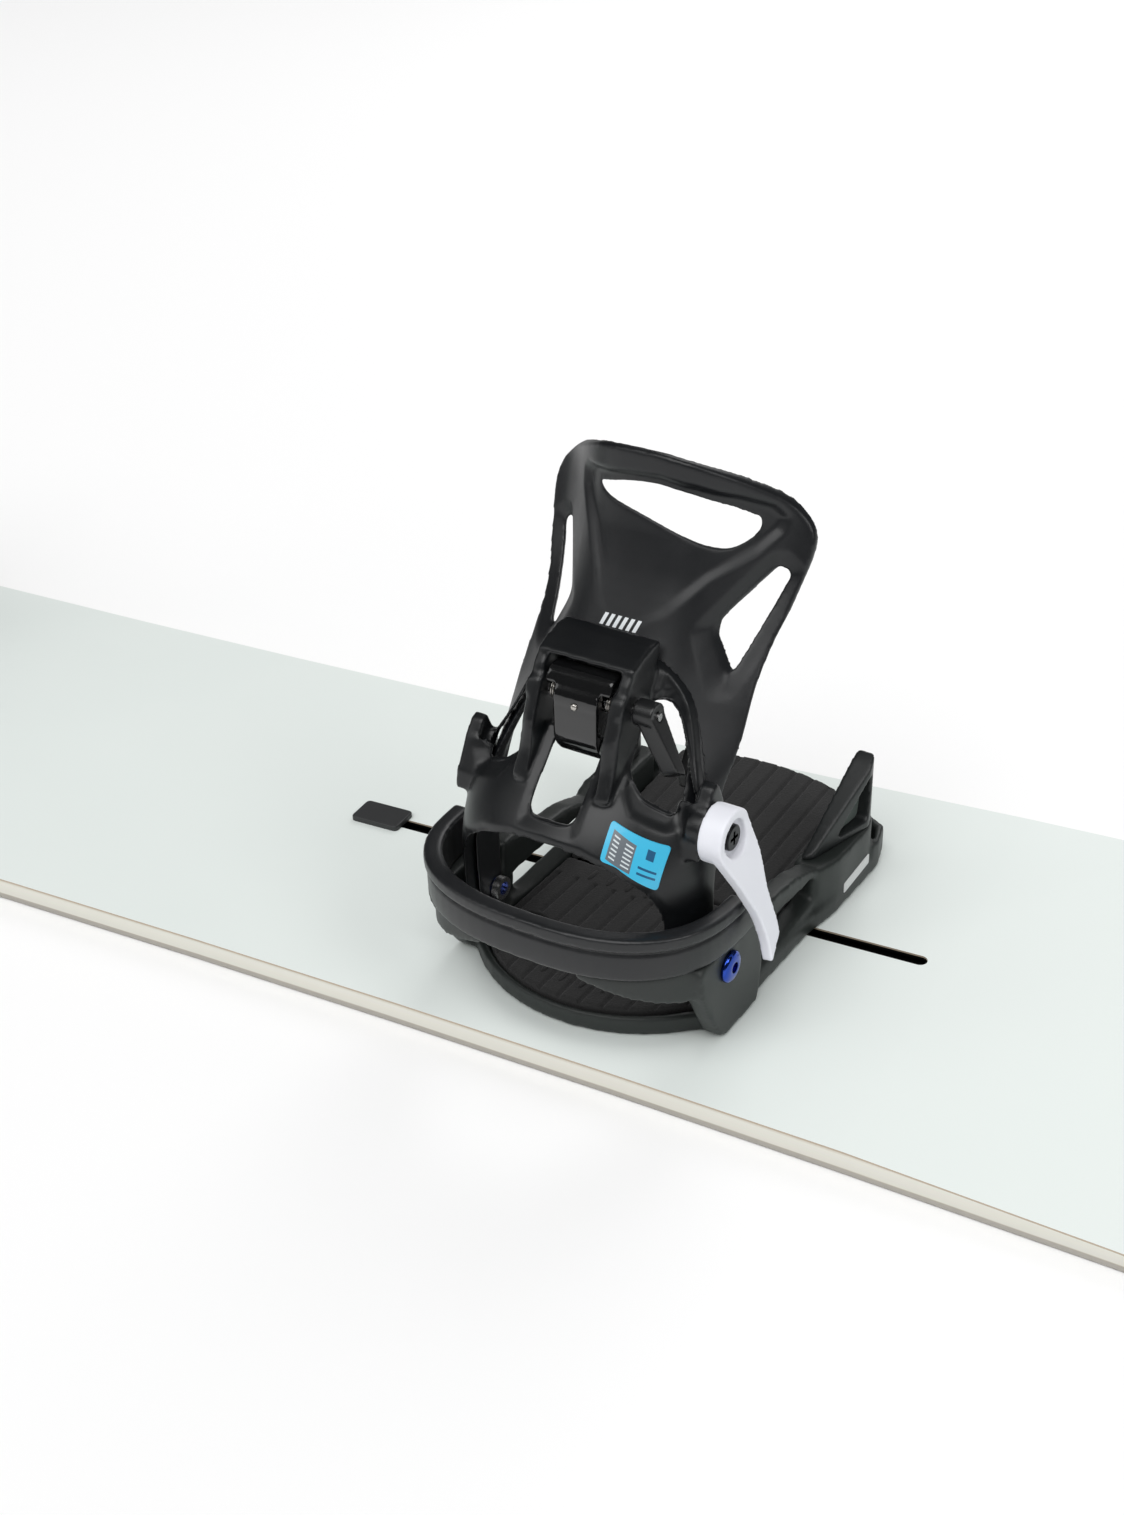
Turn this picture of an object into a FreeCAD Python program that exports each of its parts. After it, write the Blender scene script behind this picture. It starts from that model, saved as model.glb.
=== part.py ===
import FreeCAD
import Part
import math
import os

V = FreeCAD.Vector

# ---------------------------------------------------------------- driving sizes, mm
# Row frame: X along the board, Y towards the toe side, Z up, origin under the board's middle.

# board
board_length = 1500.0
waist_half_width = 119.6
sidecut_radius = 8860.0
contact_x = 610.0            # the flat base ends and the nose and tail begin here
nose_radius = 250.0          # side-view radius of the upturned nose and tail
thickness_mid = 10.4
thickness_contact = 6.2
taper_start_x = 403.0
base_layer = 2.0
top_layer = 0.8
sidewall_width = 5.0
edge_width = 2.2

# channel in the board
channel_in = 113.0           # nearest end to the board's middle, under the plug
channel_out = 397.0
slot_width = 6.9
rail_width = 17.0
rail_depth = 5.6
rail_wall = 1.2
rail_gap = 0.1               # between the rail and the pocket in the core
plug_length = 25.0
plug_width = 16.0
plug_rise = 2.5

# stance
stance_half = 280.0
duck_angle = 5.3

# binding baseplate; u is sideways, v towards the toes, z up from the board's top
plate_half = 62.5
plate_thick = 5.0
heel_v = -105.0
heel_side_v = -83.0
heel_foot_v = -80.0          # rear end of each heel arm's foot
toe_corner_half = 65.5
toe_corner_v = 66.0
front_v = 98.0
front_side_v = 84.0
arm_inner = 56.6
heel_arm_outer = 65.5
arm_bar_outer = 61.0
arm_bar_inner = 51.5
toe_block_inner = 48.0
toe_block_top = 28.0

# heel hoop
hoop_half = 68.0
hoop_rear_v = -127.0
hoop_front_v = -56.0
hoop_centre_v = -72.0
hoop_wall = 6.0
hoop_low = 45.0
hoop_high = 65.0
hoop_lip = 1.5
hoop_lip_height = 6.0
wing_depth = 16.0            # the baseplate's wings that reach back under the hoop
wing_end = 22.0

# hinge of the highback, on the two blue bolts
hinge_v = -77.0
hinge_z = 35.0
hinge_bolt_r = 3.0
hinge_head_r = 6.9
hinge_head_t = 3.0
hinge_nut_r = 5.0
hinge_nut_t = 3.2
nut_gap = 1.2                # between the nut and the blade's foot, for the curve of the wall
running_gap = 0.05
slide_gap = 0.8              # between neighbours that swing past each other

# shells of the highback
shell_wall = 4.6
carrier_wall = 4.6
lower_half = 55.9            # outside half-width of the carrier at the hinge
lower_depth = 48.0
label_thick = 0.3
leg_r = 11.0

# heel latch
pin_v = -76.0
pin_z = 138.5
pin_r = 2.0
latch_half = 10.0
latch_low = 113.0
latch_high = 150.0
cheek_in = 15.6
cheek_out = 22.0
latch_plate_half = 14.6      # the latch's wide top, between the cheeks
latch_plate_low = 144.0
latch_swing_low = 30.0       # room the latch turns in, below and above its pin
latch_swing_high = 15.0
spring_r = 3.5
spring_wire = 0.9
spring_turns = 4
spring_gap = 0.7

# release lever
lever_v = -79.0
lever_z = 97.0
lever_hub_r = 12.0
lever_hub_in = 57.6
lever_hub_out = 68.0
lever_thick = 5.0
lever_reach = 58.0
lever_drop_angle = 14.0      # the lever's tip lies this far forward of straight down
lever_splay = 13.5           # and the blade leans this far outwards
lever_boss_in = 49.5
lever_screw_r = 2.5
lever_screw_head_r = 5.4

# lean lever and block
lean_u = 27.6
lean_v = -76.0
lean_z = 138.5
lean_r = 5.4
lean_len = 25.0
lean_half = 4.3
lean_pin_r = 1.6
lean_splay = 27.0            # the arm leans this far outwards from straight down

# footbed
foam_gap = 0.4
foam_heel_top = 11.0
foam_toe_top = 20.0
foam_split_v = -11.0

# toe hooks
hook_top_z = 63.0

# mounting hardware in the channel
mount_u = 40.0
mount_bolt_r = 2.95
mount_head_r = 6.0
mount_head_t = 3.4
washer_r = 9.0
washer_t = 1.2
nut_width = 12.0
nut_thick = 2.4


# ---------------------------------------------------------------- helpers
def join(shapes):
    out = shapes[0]
    for s in shapes[1:]:
        out = out.fuse(s)
    return out


def fuse(shapes):
    return join(shapes).removeSplitter()


def polygon_wire(points):
    pts = [V(*p) for p in points]
    return Part.makePolygon(pts + [pts[0]])


def prism_z(points, z0, z1):
    """Upright prism over a plan outline of (u, v) points."""
    wire = polygon_wire([(p[0], p[1], z0) for p in points])
    return Part.Face(wire).extrude(V(0, 0, z1 - z0))


def prism_u(points, u0, u1):
    """Sideways prism over a side outline of (v, z) points."""
    wire = polygon_wire([(u0, p[0], p[1]) for p in points])
    return Part.Face(wire).extrude(V(u1 - u0, 0, 0))


def prism_v(points, v0, v1):
    """Prism along the foot over a rear-view outline of (u, z) points."""
    wire = polygon_wire([(p[0], v0, p[1]) for p in points])
    return Part.Face(wire).extrude(V(0, v1 - v0, 0))


def rounded(points, r, steps=4):
    """A polygon of 2-D points with its corners rounded by up to r."""
    out = []
    n = len(points)
    for i in range(n):
        p0, p, p1 = points[i - 1], points[i], points[(i + 1) % n]
        a = (p0[0] - p[0], p0[1] - p[1])
        b = (p1[0] - p[0], p1[1] - p[1])
        la, lb = math.hypot(*a), math.hypot(*b)
        k = min(r, la * 0.45, lb * 0.45)
        s = (p[0] + a[0] / la * k, p[1] + a[1] / la * k)
        e = (p[0] + b[0] / lb * k, p[1] + b[1] / lb * k)
        for j in range(steps + 1):
            t = j / steps
            x = (1 - t) ** 2 * s[0] + 2 * t * (1 - t) * p[0] + t * t * e[0]
            y = (1 - t) ** 2 * s[1] + 2 * t * (1 - t) * p[1] + t * t * e[1]
            out.append((x, y))
    return out


def cyl_u(r, u0, u1, v, z):
    return Part.makeCylinder(r, u1 - u0, V(u0, v, z), V(1, 0, 0))


def cyl_z(r, z0, z1, u, v):
    return Part.makeCylinder(r, z1 - z0, V(u, v, z0), V(0, 0, 1))


def block(u0, u1, v0, v1, z0, z1):
    return Part.makeBox(u1 - u0, v1 - v0, z1 - z0, V(u0, v0, z0))


def along_channel(shape):
    """Turns a piece on the channel back into line with it, under the angled baseplate."""
    s = shape.copy()
    s.rotate(V(0, 0, 0), V(0, 0, 1), duck_angle)
    return s


def other_side(shape):
    return shape.mirror(V(0, 0, 0), V(1, 0, 0))


def both_sides(shape):
    return [shape, other_side(shape)]


# ---------------------------------------------------------------- board
def thickness(x):
    t = (abs(x) - taper_start_x) / (contact_x - taper_start_x)
    return thickness_mid + (thickness_contact - thickness_mid) * min(1.0, max(0.0, t))


def side_profile(low, high):
    """Side-view face between two heights above the base, given as functions of x."""
    tip_x = board_length / 2
    pts_low, pts_high = [], []
    flat = [-contact_x, -taper_start_x, taper_start_x, contact_x]
    swing = math.asin((tip_x - contact_x) / nose_radius)
    turns = [swing * k / 8 for k in range(1, 9)]
    for x in flat:
        pts_low.append((x, low(x)))
        pts_high.append((x, high(x)))

    def tip(level, a, side):
        r = nose_radius - level
        return (side * (contact_x + r * math.sin(a)), nose_radius - r * math.cos(a))

    lo, hi = low(contact_x), high(contact_x)
    left_low = [tip(lo, a, -1) for a in reversed(turns)]
    right_low = [tip(lo, a, 1) for a in turns]
    left_high = [tip(hi, a, -1) for a in reversed(turns)]
    right_high = [tip(hi, a, 1) for a in turns]
    loop = left_low + pts_low + right_low + (left_high + pts_high + right_high)[::-1]
    wire = polygon_wire([(x, -200.0, z) for x, z in loop])
    return Part.Face(wire).extrude(V(0, 400.0, 0))


def outline_points(inset):
    """Half outline of the board, toe side, from the waist to the tip, moved in by inset."""
    pts = []
    nose = board_length / 2 - contact_x
    wide = waist_half_width + contact_x ** 2 / (2 * sidecut_radius)
    for k in range(7):
        x = contact_x * k / 6
        y = waist_half_width + x * x / (2 * sidecut_radius)
        pts.append((x, y - inset))
    for k in range(1, 19):
        a = math.pi / 2 * k / 18
        c, s = math.cos(a), math.sin(a)
        x = contact_x + (nose - inset) * s ** (2 / 2.3)
        y = (wide - inset) * c ** (2 / 2.3)
        pts.append((x, y))
    return pts


def plan_prism(inset):
    half = outline_points(inset)
    tip = [p for p in half if p[1] > 0.01] + [(half[-1][0], 0.0)]
    upper = [(-x, y) for x, y in reversed(tip[1:])] + tip
    lower = [(x, -y) for x, y in reversed(upper[1:-1])]
    return prism_z(upper + lower, -5.0, 120.0)


def channel_shapes(side):
    """Rail, its pocket and the slot through the top sheet, for one side of the board."""
    x0, x1 = (channel_in, channel_out) if side > 0 else (-channel_out, -channel_in)
    top = thickness_mid - top_layer
    r = rail_width / 2
    pocket = block(x0 - rail_gap, x1 + rail_gap, -r - rail_gap, r + rail_gap, top - rail_depth, top + 5)
    rail = block(x0, x1, -r, r, top - rail_depth, top)
    cavity = block(x0 + rail_wall, x1 - rail_wall, -r + rail_wall, r - rail_wall,
                   top - rail_depth + rail_wall, top - rail_wall)
    h = slot_width / 2
    slot = block(x0 + h + 2, x1 - h - 2, -h, h, top - rail_depth + rail_wall, top + 5)
    ends = [cyl_z(h, top - rail_depth + rail_wall, top + 5, x, 0) for x in (x0 + h + 2, x1 - h - 2)]
    opening = fuse([slot] + ends)
    return pocket, rail.cut(cavity).cut(opening), opening


def make_board():
    whole = plan_prism(0.0)
    inside_edge = plan_prism(edge_width)
    inside_wall = plan_prism(sidewall_width)
    under = side_profile(lambda x: 0.0, lambda x: base_layer)
    middle = side_profile(lambda x: base_layer, lambda x: thickness(x) - top_layer)
    over = side_profile(lambda x: thickness(x) - top_layer, thickness)
    parts = {}
    parts["base"] = under.common(inside_edge)
    parts["steel_edges"] = under.common(whole).cut(inside_edge)
    core = middle.common(inside_wall)
    parts["sidewalls"] = middle.common(whole).cut(inside_wall)
    sheet = over.common(whole)
    rails, covers = [], []
    for side in (1, -1):
        pocket, rail, opening = channel_shapes(side)
        core = core.cut(pocket)
        sheet = sheet.cut(opening)
        rails.append(rail)
        mid = side * (channel_in + plug_length / 2)
        h = plug_length / 2
        w = plug_width / 2
        plan = rounded([(mid - h, -w), (mid + h, -w), (mid + h, w), (mid - h, w)], 2.5)
        cap = prism_z(plan, thickness_mid, thickness_mid + plug_rise)
        rim = [e for e in cap.Edges if e.BoundBox.ZMin > thickness_mid + plug_rise - 0.01]
        covers.append(cap.makeFillet(0.7, rim))
    parts["core"] = core
    parts["topsheet"] = sheet
    parts["channel_rails"] = Part.makeCompound(rails)
    parts["channel_plugs"] = Part.makeCompound(covers)
    return parts


# ---------------------------------------------------------------- highback shells
profile_v = [(20, -112.5), (60, -115), (80, -112), (98, -101), (120, -79), (142, -60), (160, -48),
             (177, -40), (190, -35.5), (207, -32), (228, -31)]
edge_half = [(20, 54), (110, 54), (138, 52), (155, 54), (170, 58), (182, 60), (228, 60)]


def table(rows, z):
    """Smooth curve through rows of (z, value), read at z."""
    z = min(max(z, rows[0][0]), rows[-1][0])
    k = 0
    while k < len(rows) - 2 and z > rows[k + 1][0]:
        k += 1

    def slope(i):
        lo, hi = max(i - 1, 0), min(i + 1, len(rows) - 1)
        return (rows[hi][1] - rows[lo][1]) / (rows[hi][0] - rows[lo][0])

    (z0, a), (z1, b) = rows[k], rows[k + 1]
    h = z1 - z0
    t = (z - z0) / h
    ends = (2 * t ** 3 - 3 * t * t + 1) * a + (3 * t * t - 2 * t ** 3) * b
    turns = (t ** 3 - 2 * t * t + t) * h * slope(k) + (t ** 3 - t * t) * h * slope(k + 1)
    return ends + turns


def blade_point(s, z):
    """A point of the blade's outside at height z; s runs from -1 to 1 across the shell."""
    w = min(1.0, max(0.0, (z - 85) / 50))
    w = w * w * (3 - 2 * w)
    rear = table(profile_v, z)
    a = s * math.pi / 2
    u_low = (lower_half - carrier_wall - slide_gap) * math.sin(a)
    v_low = rear + (lower_depth - carrier_wall) * (1 - math.cos(a))
    u_up = table(edge_half, z) * s
    rise = math.sin(math.pi / 2 * min(1.0, abs(u_up) / 58.0) ** 1.6) ** 2
    v_up = rear + 33.0 * rise
    return ((1 - w) * u_low + w * u_up, (1 - w) * v_low + w * v_up)


def shell_point(s, z, inward):
    """The same point moved square to the section's outline, towards the boot."""
    step = 0.01
    u0, v0 = blade_point(s - step, z)
    u1, v1 = blade_point(s + step, z)
    du, dv = u1 - u0, v1 - v0
    n = math.hypot(du, dv)
    u, v = blade_point(s, z)
    return (u - dv / n * inward, v + du / n * inward)


def shell_section(z, out, wall):
    """Closed wire of the C-shaped section at height z: outside at out, and wall thick."""
    n = 16
    ss = [k / n * 2 - 1 for k in range(n + 1)]
    outer = [V(*shell_point(s, z, -out), z) for s in ss]
    inner = [V(*shell_point(s, z, wall - out), z) for s in reversed(ss)]
    a = Part.BSplineCurve()
    a.interpolate(outer)
    b = Part.BSplineCurve()
    b.interpolate(inner)
    return Part.Wire([a.toShape(), Part.makeLine(outer[-1], inner[0]), b.toShape(),
                      Part.makeLine(inner[-1], outer[0])])


def shell(out, wall):
    return Part.makeLoft([shell_section(z, out, wall) for z in shell_levels], True, False)


shell_levels = [20, 34, 48, 60, 72, 84, 96, 108, 120, 132, 144, 156, 168, 180, 192, 204, 216, 227]
blade_outline = [(-44, 20), (44, 20), (58, 60), (58, 120), (53.5, 140), (54.5, 160), (57.4, 173.7), (59.3, 181.3),
                 (59.9, 188.1), (57.8, 193.1), (52.9, 198.7), (47.8, 203.8), (41.4, 209), (31.4, 216.4),
                 (20.2, 221.6), (6.2, 223.9), (-9.7, 223.9), (-21.2, 222.2), (-30, 218.2), (-38.9, 213),
                 (-45.5, 209), (-52, 203.9), (-56.8, 198.8), (-59.3, 193), (-60, 186), (-58, 172), (-55.5, 155),
                 (-55, 140), (-58, 120), (-58, 60)]
top_window = [(-27, 204), (-10, 209), (5, 210.5), (20, 208), (33, 203), (43, 196), (40, 189.5), (33, 186),
              (26, 188), (13, 193), (-5, 198), (-20, 201)]
side_window = [(42.5, 139), (53, 175), (48.5, 178.5), (33, 158.5)]
carrier_arch = [(-56.5, 20), (56.5, 20), (57.5, 60), (56, 88), (50, 103), (42, 122), (34, 139), (21, 150.5),
                (0, 154), (-21, 150.5), (-34, 139), (-42, 122), (-50, 103), (-56, 88), (-57.5, 60)]
heel_window = [(-46, 16), (46, 16), (47, 64), (42, 75), (30, 84), (16, 89), (0, 90.5), (-16, 89), (-30, 84),
               (-42, 75), (-47, 64)]
lobe = [(22, 137), (29, 137.5), (35, 131), (43, 114), (48.5, 104), (44.5, 100), (31, 107), (23.5, 114), (22, 123)]


def leg_cutter():
    """Takes away the shell in front of and below the round foot of each leg."""
    front = hinge_v + leg_r
    side = [(front, hinge_z), (front + 3, 75), (front + 40, 130), (40, 130), (40, 0), (-140, 0), (-140, hinge_z - 9),
            (hinge_v - 20, hinge_z - 9), (hinge_v - 6, hinge_z - leg_r), (hinge_v, hinge_z - leg_r),
            (hinge_v + 8, hinge_z - 8)]
    return prism_u(side, -80, 80)


def make_highback():
    body = shell(0.0, shell_wall)
    body = body.common(prism_v(rounded(blade_outline, 12.0), -150, 40))
    body = body.cut(prism_v(rounded(top_window, 5.0), -150, 40))
    window = prism_v(rounded(side_window, 5.0, 8), -150, 40)
    body = body.cut(window).cut(other_side(window))
    below = rounded([(-45, 15), (45, 15), (45.5, 90), (38, 118), (27, 138), (12, 144), (-12, 144), (-27, 138),
                     (-38, 118), (-45.5, 90)], 6.0)
    body = body.cut(prism_v(below, -150, 40))
    body = body.cut(leg_cutter())
    bore = cyl_u(hinge_bolt_r + running_gap, -80, 80, hinge_v, hinge_z)
    return body.cut(bore)


def make_carrier():
    body = shell(carrier_wall + slide_gap, carrier_wall)
    body = body.common(prism_v(rounded(carrier_arch, 9.0), -150, 40))
    body = body.cut(prism_v(rounded(heel_window, 5.0), -150, 40))
    opening = prism_v(rounded(lobe, 3.0), -150, 40)
    body = body.cut(opening).cut(other_side(opening))
    body = body.cut(leg_cutter())
    slot_half = latch_half + slide_gap
    slot = prism_v(rounded([(-slot_half, 97), (slot_half, 97), (slot_half, pin_z), (-slot_half, pin_z)], 5.0),
                   -150, 40)
    pieces = [body.cut(slot)]
    for side in (1, -1):
        foot = cyl_u(leg_r, lower_half - carrier_wall, lower_half, hinge_v, hinge_z)
        pieces.append(foot if side > 0 else other_side(foot))
        front = [(table(profile_v, z) - slide_gap - 0.6, z) for z in (148, 138, 128)]
        low_front = (table(profile_v, 110) - slide_gap - 0.6, 110)
        cheek = prism_u(rounded([(-98, 106), (-93, 118), (-91, 130), (-84, 146)] + front + [low_front], 2.0),
                        cheek_in, cheek_out)
        pieces.append(cheek if side > 0 else other_side(cheek))
    boss = cyl_u(8.0, lever_boss_in, lever_hub_in - slide_gap, lever_v, lever_z)
    pieces.append(boss)
    body = join(pieces)
    body = body.cut(cyl_u(hinge_bolt_r + running_gap, -80, 80, hinge_v, hinge_z))
    body = body.cut(cyl_u(pin_r, -cheek_out - 1, cheek_out + 1, pin_v, pin_z))
    body = body.cut(cyl_u(lever_screw_r, 44, 80, lever_v, lever_z))
    swing = cyl_u(latch_swing_low, -slot_half, slot_half, pin_v, pin_z)
    swing = swing.common(block(-slot_half, slot_half, -150, 40, 0, pin_z))
    above = cyl_u(latch_swing_high, -latch_plate_half - slide_gap, latch_plate_half + slide_gap, pin_v, pin_z)
    return body.cut(swing).cut(above)


def make_latch():
    side = [(pin_v - 9, latch_low + 8), (pin_v - 3, latch_low), (pin_v + 6, latch_low + 1), (pin_v + 9, pin_z - 8),
            (pin_v + 8, latch_high - 4), (pin_v + 3, latch_high), (pin_v - 5, latch_high - 3), (pin_v - 9, pin_z)]
    body = prism_u(rounded(side, 4.0), -latch_half, latch_half)
    hub = cyl_u(9.0, -latch_half, latch_half, pin_v, pin_z)
    plate = prism_u(rounded([(pin_v - 7, latch_plate_low), (pin_v + 6, latch_plate_low), (pin_v + 4, latch_high + 1),
                             (pin_v - 4, latch_high)], 2.0), -latch_plate_half, latch_plate_half)
    body = fuse([body, hub, plate])
    toe = prism_u(rounded([(pin_v + 2, latch_low + 2), (pin_v + 8, latch_low + 3), (pin_v + 16, latch_low + 10),
                           (pin_v + 6, latch_low + 16)], 2.0), -latch_half + 3, latch_half - 3)
    return fuse([body, toe]).cut(cyl_u(pin_r + running_gap, -30, 30, pin_v, pin_z))


def make_springs():
    """One sleeve round the pin for each torsion spring, the size of its coil."""
    start = latch_half + spring_gap
    coil = cyl_u(spring_r + spring_wire / 2, start, start + spring_turns * spring_wire * 1.05, pin_v, pin_z)
    coil = coil.cut(cyl_u(spring_r - spring_wire / 2, 0, 30, pin_v, pin_z))
    return Part.makeCompound(both_sides(coil))


def make_release_lever():
    hub = cyl_u(lever_hub_r, lever_hub_in, lever_hub_out, lever_v, lever_z)
    outline = rounded([(-11.5, 4), (-12, -4), (-7, -22), (-3.5, -40), (-4, -52), (-7, -62), (-2, -lever_reach),
                       (4, -lever_reach + 3), (5.5, -50), (7, -34), (11.5, -16), (12, 4)], 4.0)
    arm = prism_u(outline, 0.0, lever_thick)
    arm.rotate(V(0, 0, 0), V(0, 1, 0), -lever_splay)
    arm.rotate(V(0, 0, 0), V(1, 0, 0), lever_drop_angle)
    arm.translate(V(lever_hub_out - lever_thick, lever_v, lever_z))
    inside = block(40, lever_hub_in, -120, 0, 20, 120)
    body = fuse([hub, arm]).cut(inside)
    seat = cyl_u(lever_screw_head_r + 2.4, lever_hub_out - 2.6, lever_hub_out + 6, lever_v, lever_z)
    return body.cut(seat).cut(cyl_u(lever_screw_r + running_gap, 40, 90, lever_v, lever_z))


def cross_recess(r, u1, v, z):
    arm = r * 0.55
    a = block(u1 - 1.4, u1 + 1, v - arm, v + arm, z - 0.7, z + 0.7)
    b = block(u1 - 1.4, u1 + 1, v - 0.7, v + 0.7, z - arm, z + arm)
    return a.fuse(b)


def make_lever_screw():
    seat = lever_hub_out - 2.6
    shank = cyl_u(lever_screw_r, lever_boss_in + 0.5, seat, lever_v, lever_z)
    head = cyl_u(lever_screw_head_r, seat, seat + 2.2, lever_v, lever_z)
    head = head.makeFillet(0.8, [e for e in head.Edges if e.BoundBox.XMin > seat + 2.1])
    return fuse([shank, head]).cut(cross_recess(lever_screw_head_r, seat + 2.2, lever_v, lever_z))


def make_lean_lever():
    hub = cyl_u(lean_r, lean_u - lean_half, lean_u + lean_half, lean_v, lean_z)
    arm = prism_u(rounded([(-lean_r + 0.6, 0), (-3.2, -lean_len), (1.5, -lean_len - 3), (lean_r - 0.6, 0)], 1.6),
                  -lean_half + 1, lean_half)
    arm.rotate(V(0, 0, 0), V(0, 1, 0), -lean_splay)
    arm.translate(V(lean_u, lean_v, lean_z))
    body = fuse([hub, arm]).common(block(lean_u - lean_half, 80, -150, 40, 60, 200))
    return body.cut(cyl_u(lean_pin_r + running_gap, 0, 80, lean_v, lean_z))


def make_lean_pin():
    return cyl_u(lean_pin_r, cheek_out, lean_u + lean_half + 1.2, lean_v, lean_z)


def make_lean_block():
    side = rounded([(-56, 96), (-44, 98), (-38, 110), (-44, 118), (-52, 112), (-58, 104)], 1.5)
    return prism_u(side, 30.5, 38.5)


# ---------------------------------------------------------------- baseplate and what sits on it
def arc_points(p0, pm, p1, n):
    edge = Part.Arc(V(*p0, 0), V(*pm, 0), V(*p1, 0)).toShape()
    return [(p.x, p.y) for p in edge.discretize(n)]


def plate_outline(inset=0.0):
    side = plate_half - inset
    corner = toe_corner_half - inset
    rear = arc_points((52 - inset, heel_side_v + inset), (0, heel_v + inset), (-52 + inset, heel_side_v + inset), 13)
    front = arc_points((-corner + 4, front_side_v - inset), (-14, front_v - inset), (corner - 4, toe_corner_v + 14 - inset),
                       11)
    left = [(-side, heel_side_v + 10), (-side, 0), (-corner, 22), (-corner, 58), (-corner + 2, 74)]
    right = [(corner, 66), (corner, 22), (side, 0), (side, heel_side_v + 10)]
    return rear + left + front + right


def hoop_plan(inset):
    """Plan of the hoop's outside moved in by inset: a full round at the rear, straight sides."""
    half = hoop_half - inset
    deep = hoop_centre_v - hoop_rear_v - inset
    pts = []
    for k in range(33):
        a = math.pi * k / 32
        c, s = math.cos(a), math.sin(a)
        u = half * math.copysign(abs(c) ** (2 / 2.5), c)
        pts.append((u, hoop_centre_v - deep * s ** (2 / 2.5)))
    return pts


def hoop_ring(z0, z1, outer_inset, inner_inset, front):
    outer = hoop_plan(outer_inset)
    inner = hoop_plan(inner_inset)
    outer = [(outer[0][0], front)] + outer + [(outer[-1][0], front)]
    inner = [(inner[0][0], front)] + inner + [(inner[-1][0], front)]
    return prism_z(outer + inner[::-1], z0, z1)


def make_hoop():
    band = hoop_ring(hoop_low, hoop_high, 0.0, hoop_wall, hoop_front_v)
    lip = hoop_ring(hoop_high - hoop_lip_height, hoop_high, -hoop_lip, hoop_wall, hoop_front_v)
    body = fuse([band, lip])
    slope = prism_u([(hoop_front_v + 1, hoop_high + 1), (hoop_front_v - 16, hoop_high + 1),
                     (hoop_front_v + 1, hoop_low + 5)], -90, 90)
    return body.cut(slope)


def make_arm(side):
    """One side wall of the baseplate: heel arm, bar and toe block, with its triangular window."""
    heel = prism_u(rounded([(heel_foot_v, 0), (-50, 0), (-46, 20), (-52, 40), (-57, hoop_low),
                            (heel_foot_v - 20, hoop_low), (heel_foot_v - 18, 32), (heel_foot_v - 10, 16)], 5.0),
                   arm_inner, heel_arm_outer)
    bar = prism_u(rounded([(-60, 26), (-40, 27), (6, 26), (14, 22), (13.5, toe_block_top), (8, 30), (-8, 35),
                           (-34, 38), (-52, hoop_low), (-62, hoop_low), (-62, 30)], 3.0), arm_bar_inner, arm_bar_outer)
    sill = prism_u(rounded([(-60, 0), (20, 0), (20, 16), (0, 13), (-40, 11), (-56, 13), (-62, 10)], 3.0),
                   arm_bar_inner, arm_bar_outer)
    plan = rounded([(toe_block_inner, 12), (arm_bar_outer, 8), (toe_corner_half, 24), (toe_corner_half, 56),
                    (toe_corner_half - 5, 68), (toe_block_inner + 2, 66)], 5.0)
    toe = prism_z(plan, 0, toe_block_top)
    shapes = [heel, bar, sill, toe]
    if side < 0:
        shapes = [other_side(s) for s in shapes]
    return shapes


def make_baseplate():
    floor = prism_z(plate_outline(), 0, plate_thick)
    rim = prism_z(plate_outline(), plate_thick, plate_thick + 4)
    rim = rim.cut(prism_z(plate_outline(3.0), plate_thick - 1, plate_thick + 6))
    dam = prism_z(plate_outline(), plate_thick, 14).cut(prism_z(plate_outline(3.0), plate_thick - 1, 40))
    dam = dam.cut(block(-90, 90, -130, toe_corner_v - 6, 0, 40))
    shapes = [floor, rim, dam] + make_arm(1) + make_arm(-1)
    under_hoop = hoop_ring(hoop_low - wing_depth, hoop_low, 2.0, hoop_wall + 3, hoop_centre_v + 1)
    middle = block(-wing_end, wing_end, -150, -60, 0, 60)
    slope = prism_v([(wing_end - 1, 0), (60, 0), (60, hoop_low - wing_depth), (wing_end - 1, hoop_low - 3)], -150, -60)
    wings = under_hoop.cut(middle).cut(slope).cut(other_side(slope))
    body = fuse(shapes + wings.Solids)
    body = body.cut(cyl_u(hinge_bolt_r, -80, 80, hinge_v, hinge_z))
    seat = cyl_u(hinge_head_r + 0.4, heel_arm_outer, 80, hinge_v, hinge_z)
    body = body.cut(seat).cut(other_side(seat))
    for u in (mount_u, -mount_u):
        body = body.cut(along_channel(cyl_z(mount_bolt_r + 0.5, -1, 20, u, 0)))
    return body


def foam_plan(inset):
    """Plan of the foot pad inside the rim, kept clear of the arms."""
    outer = plate_outline(3.0 + inset)
    return prism_z(outer, 0, 60)


def make_foam():
    room = foam_plan(foam_gap)
    clear = [block(arm_bar_inner - foam_gap, 90, -64, 22, 0, 60), block(arm_inner - foam_gap, 90, -110, -40, 0, 60),
             block(toe_block_inner - foam_gap, 90, 7, 90, 0, 60)]
    for c in clear:
        room = room.cut(c).cut(other_side(c))
    low = plate_thick
    heel = room.common(block(-90, 90, -130, foam_split_v, low, foam_heel_top))
    ramp = prism_u([(foam_split_v + 1.2, low), (front_v, low), (front_v, foam_toe_top),
                    (foam_split_v + 1.2, foam_heel_top)], -90, 90)
    front = room.common(ramp)
    for u in (mount_u, -mount_u):
        pocket = along_channel(cyl_z(washer_r + 1, 0, low + washer_t + mount_head_t + 0.4, u, 0))
        front = front.cut(pocket)
        heel = heel.cut(pocket)
    return heel, front


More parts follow.
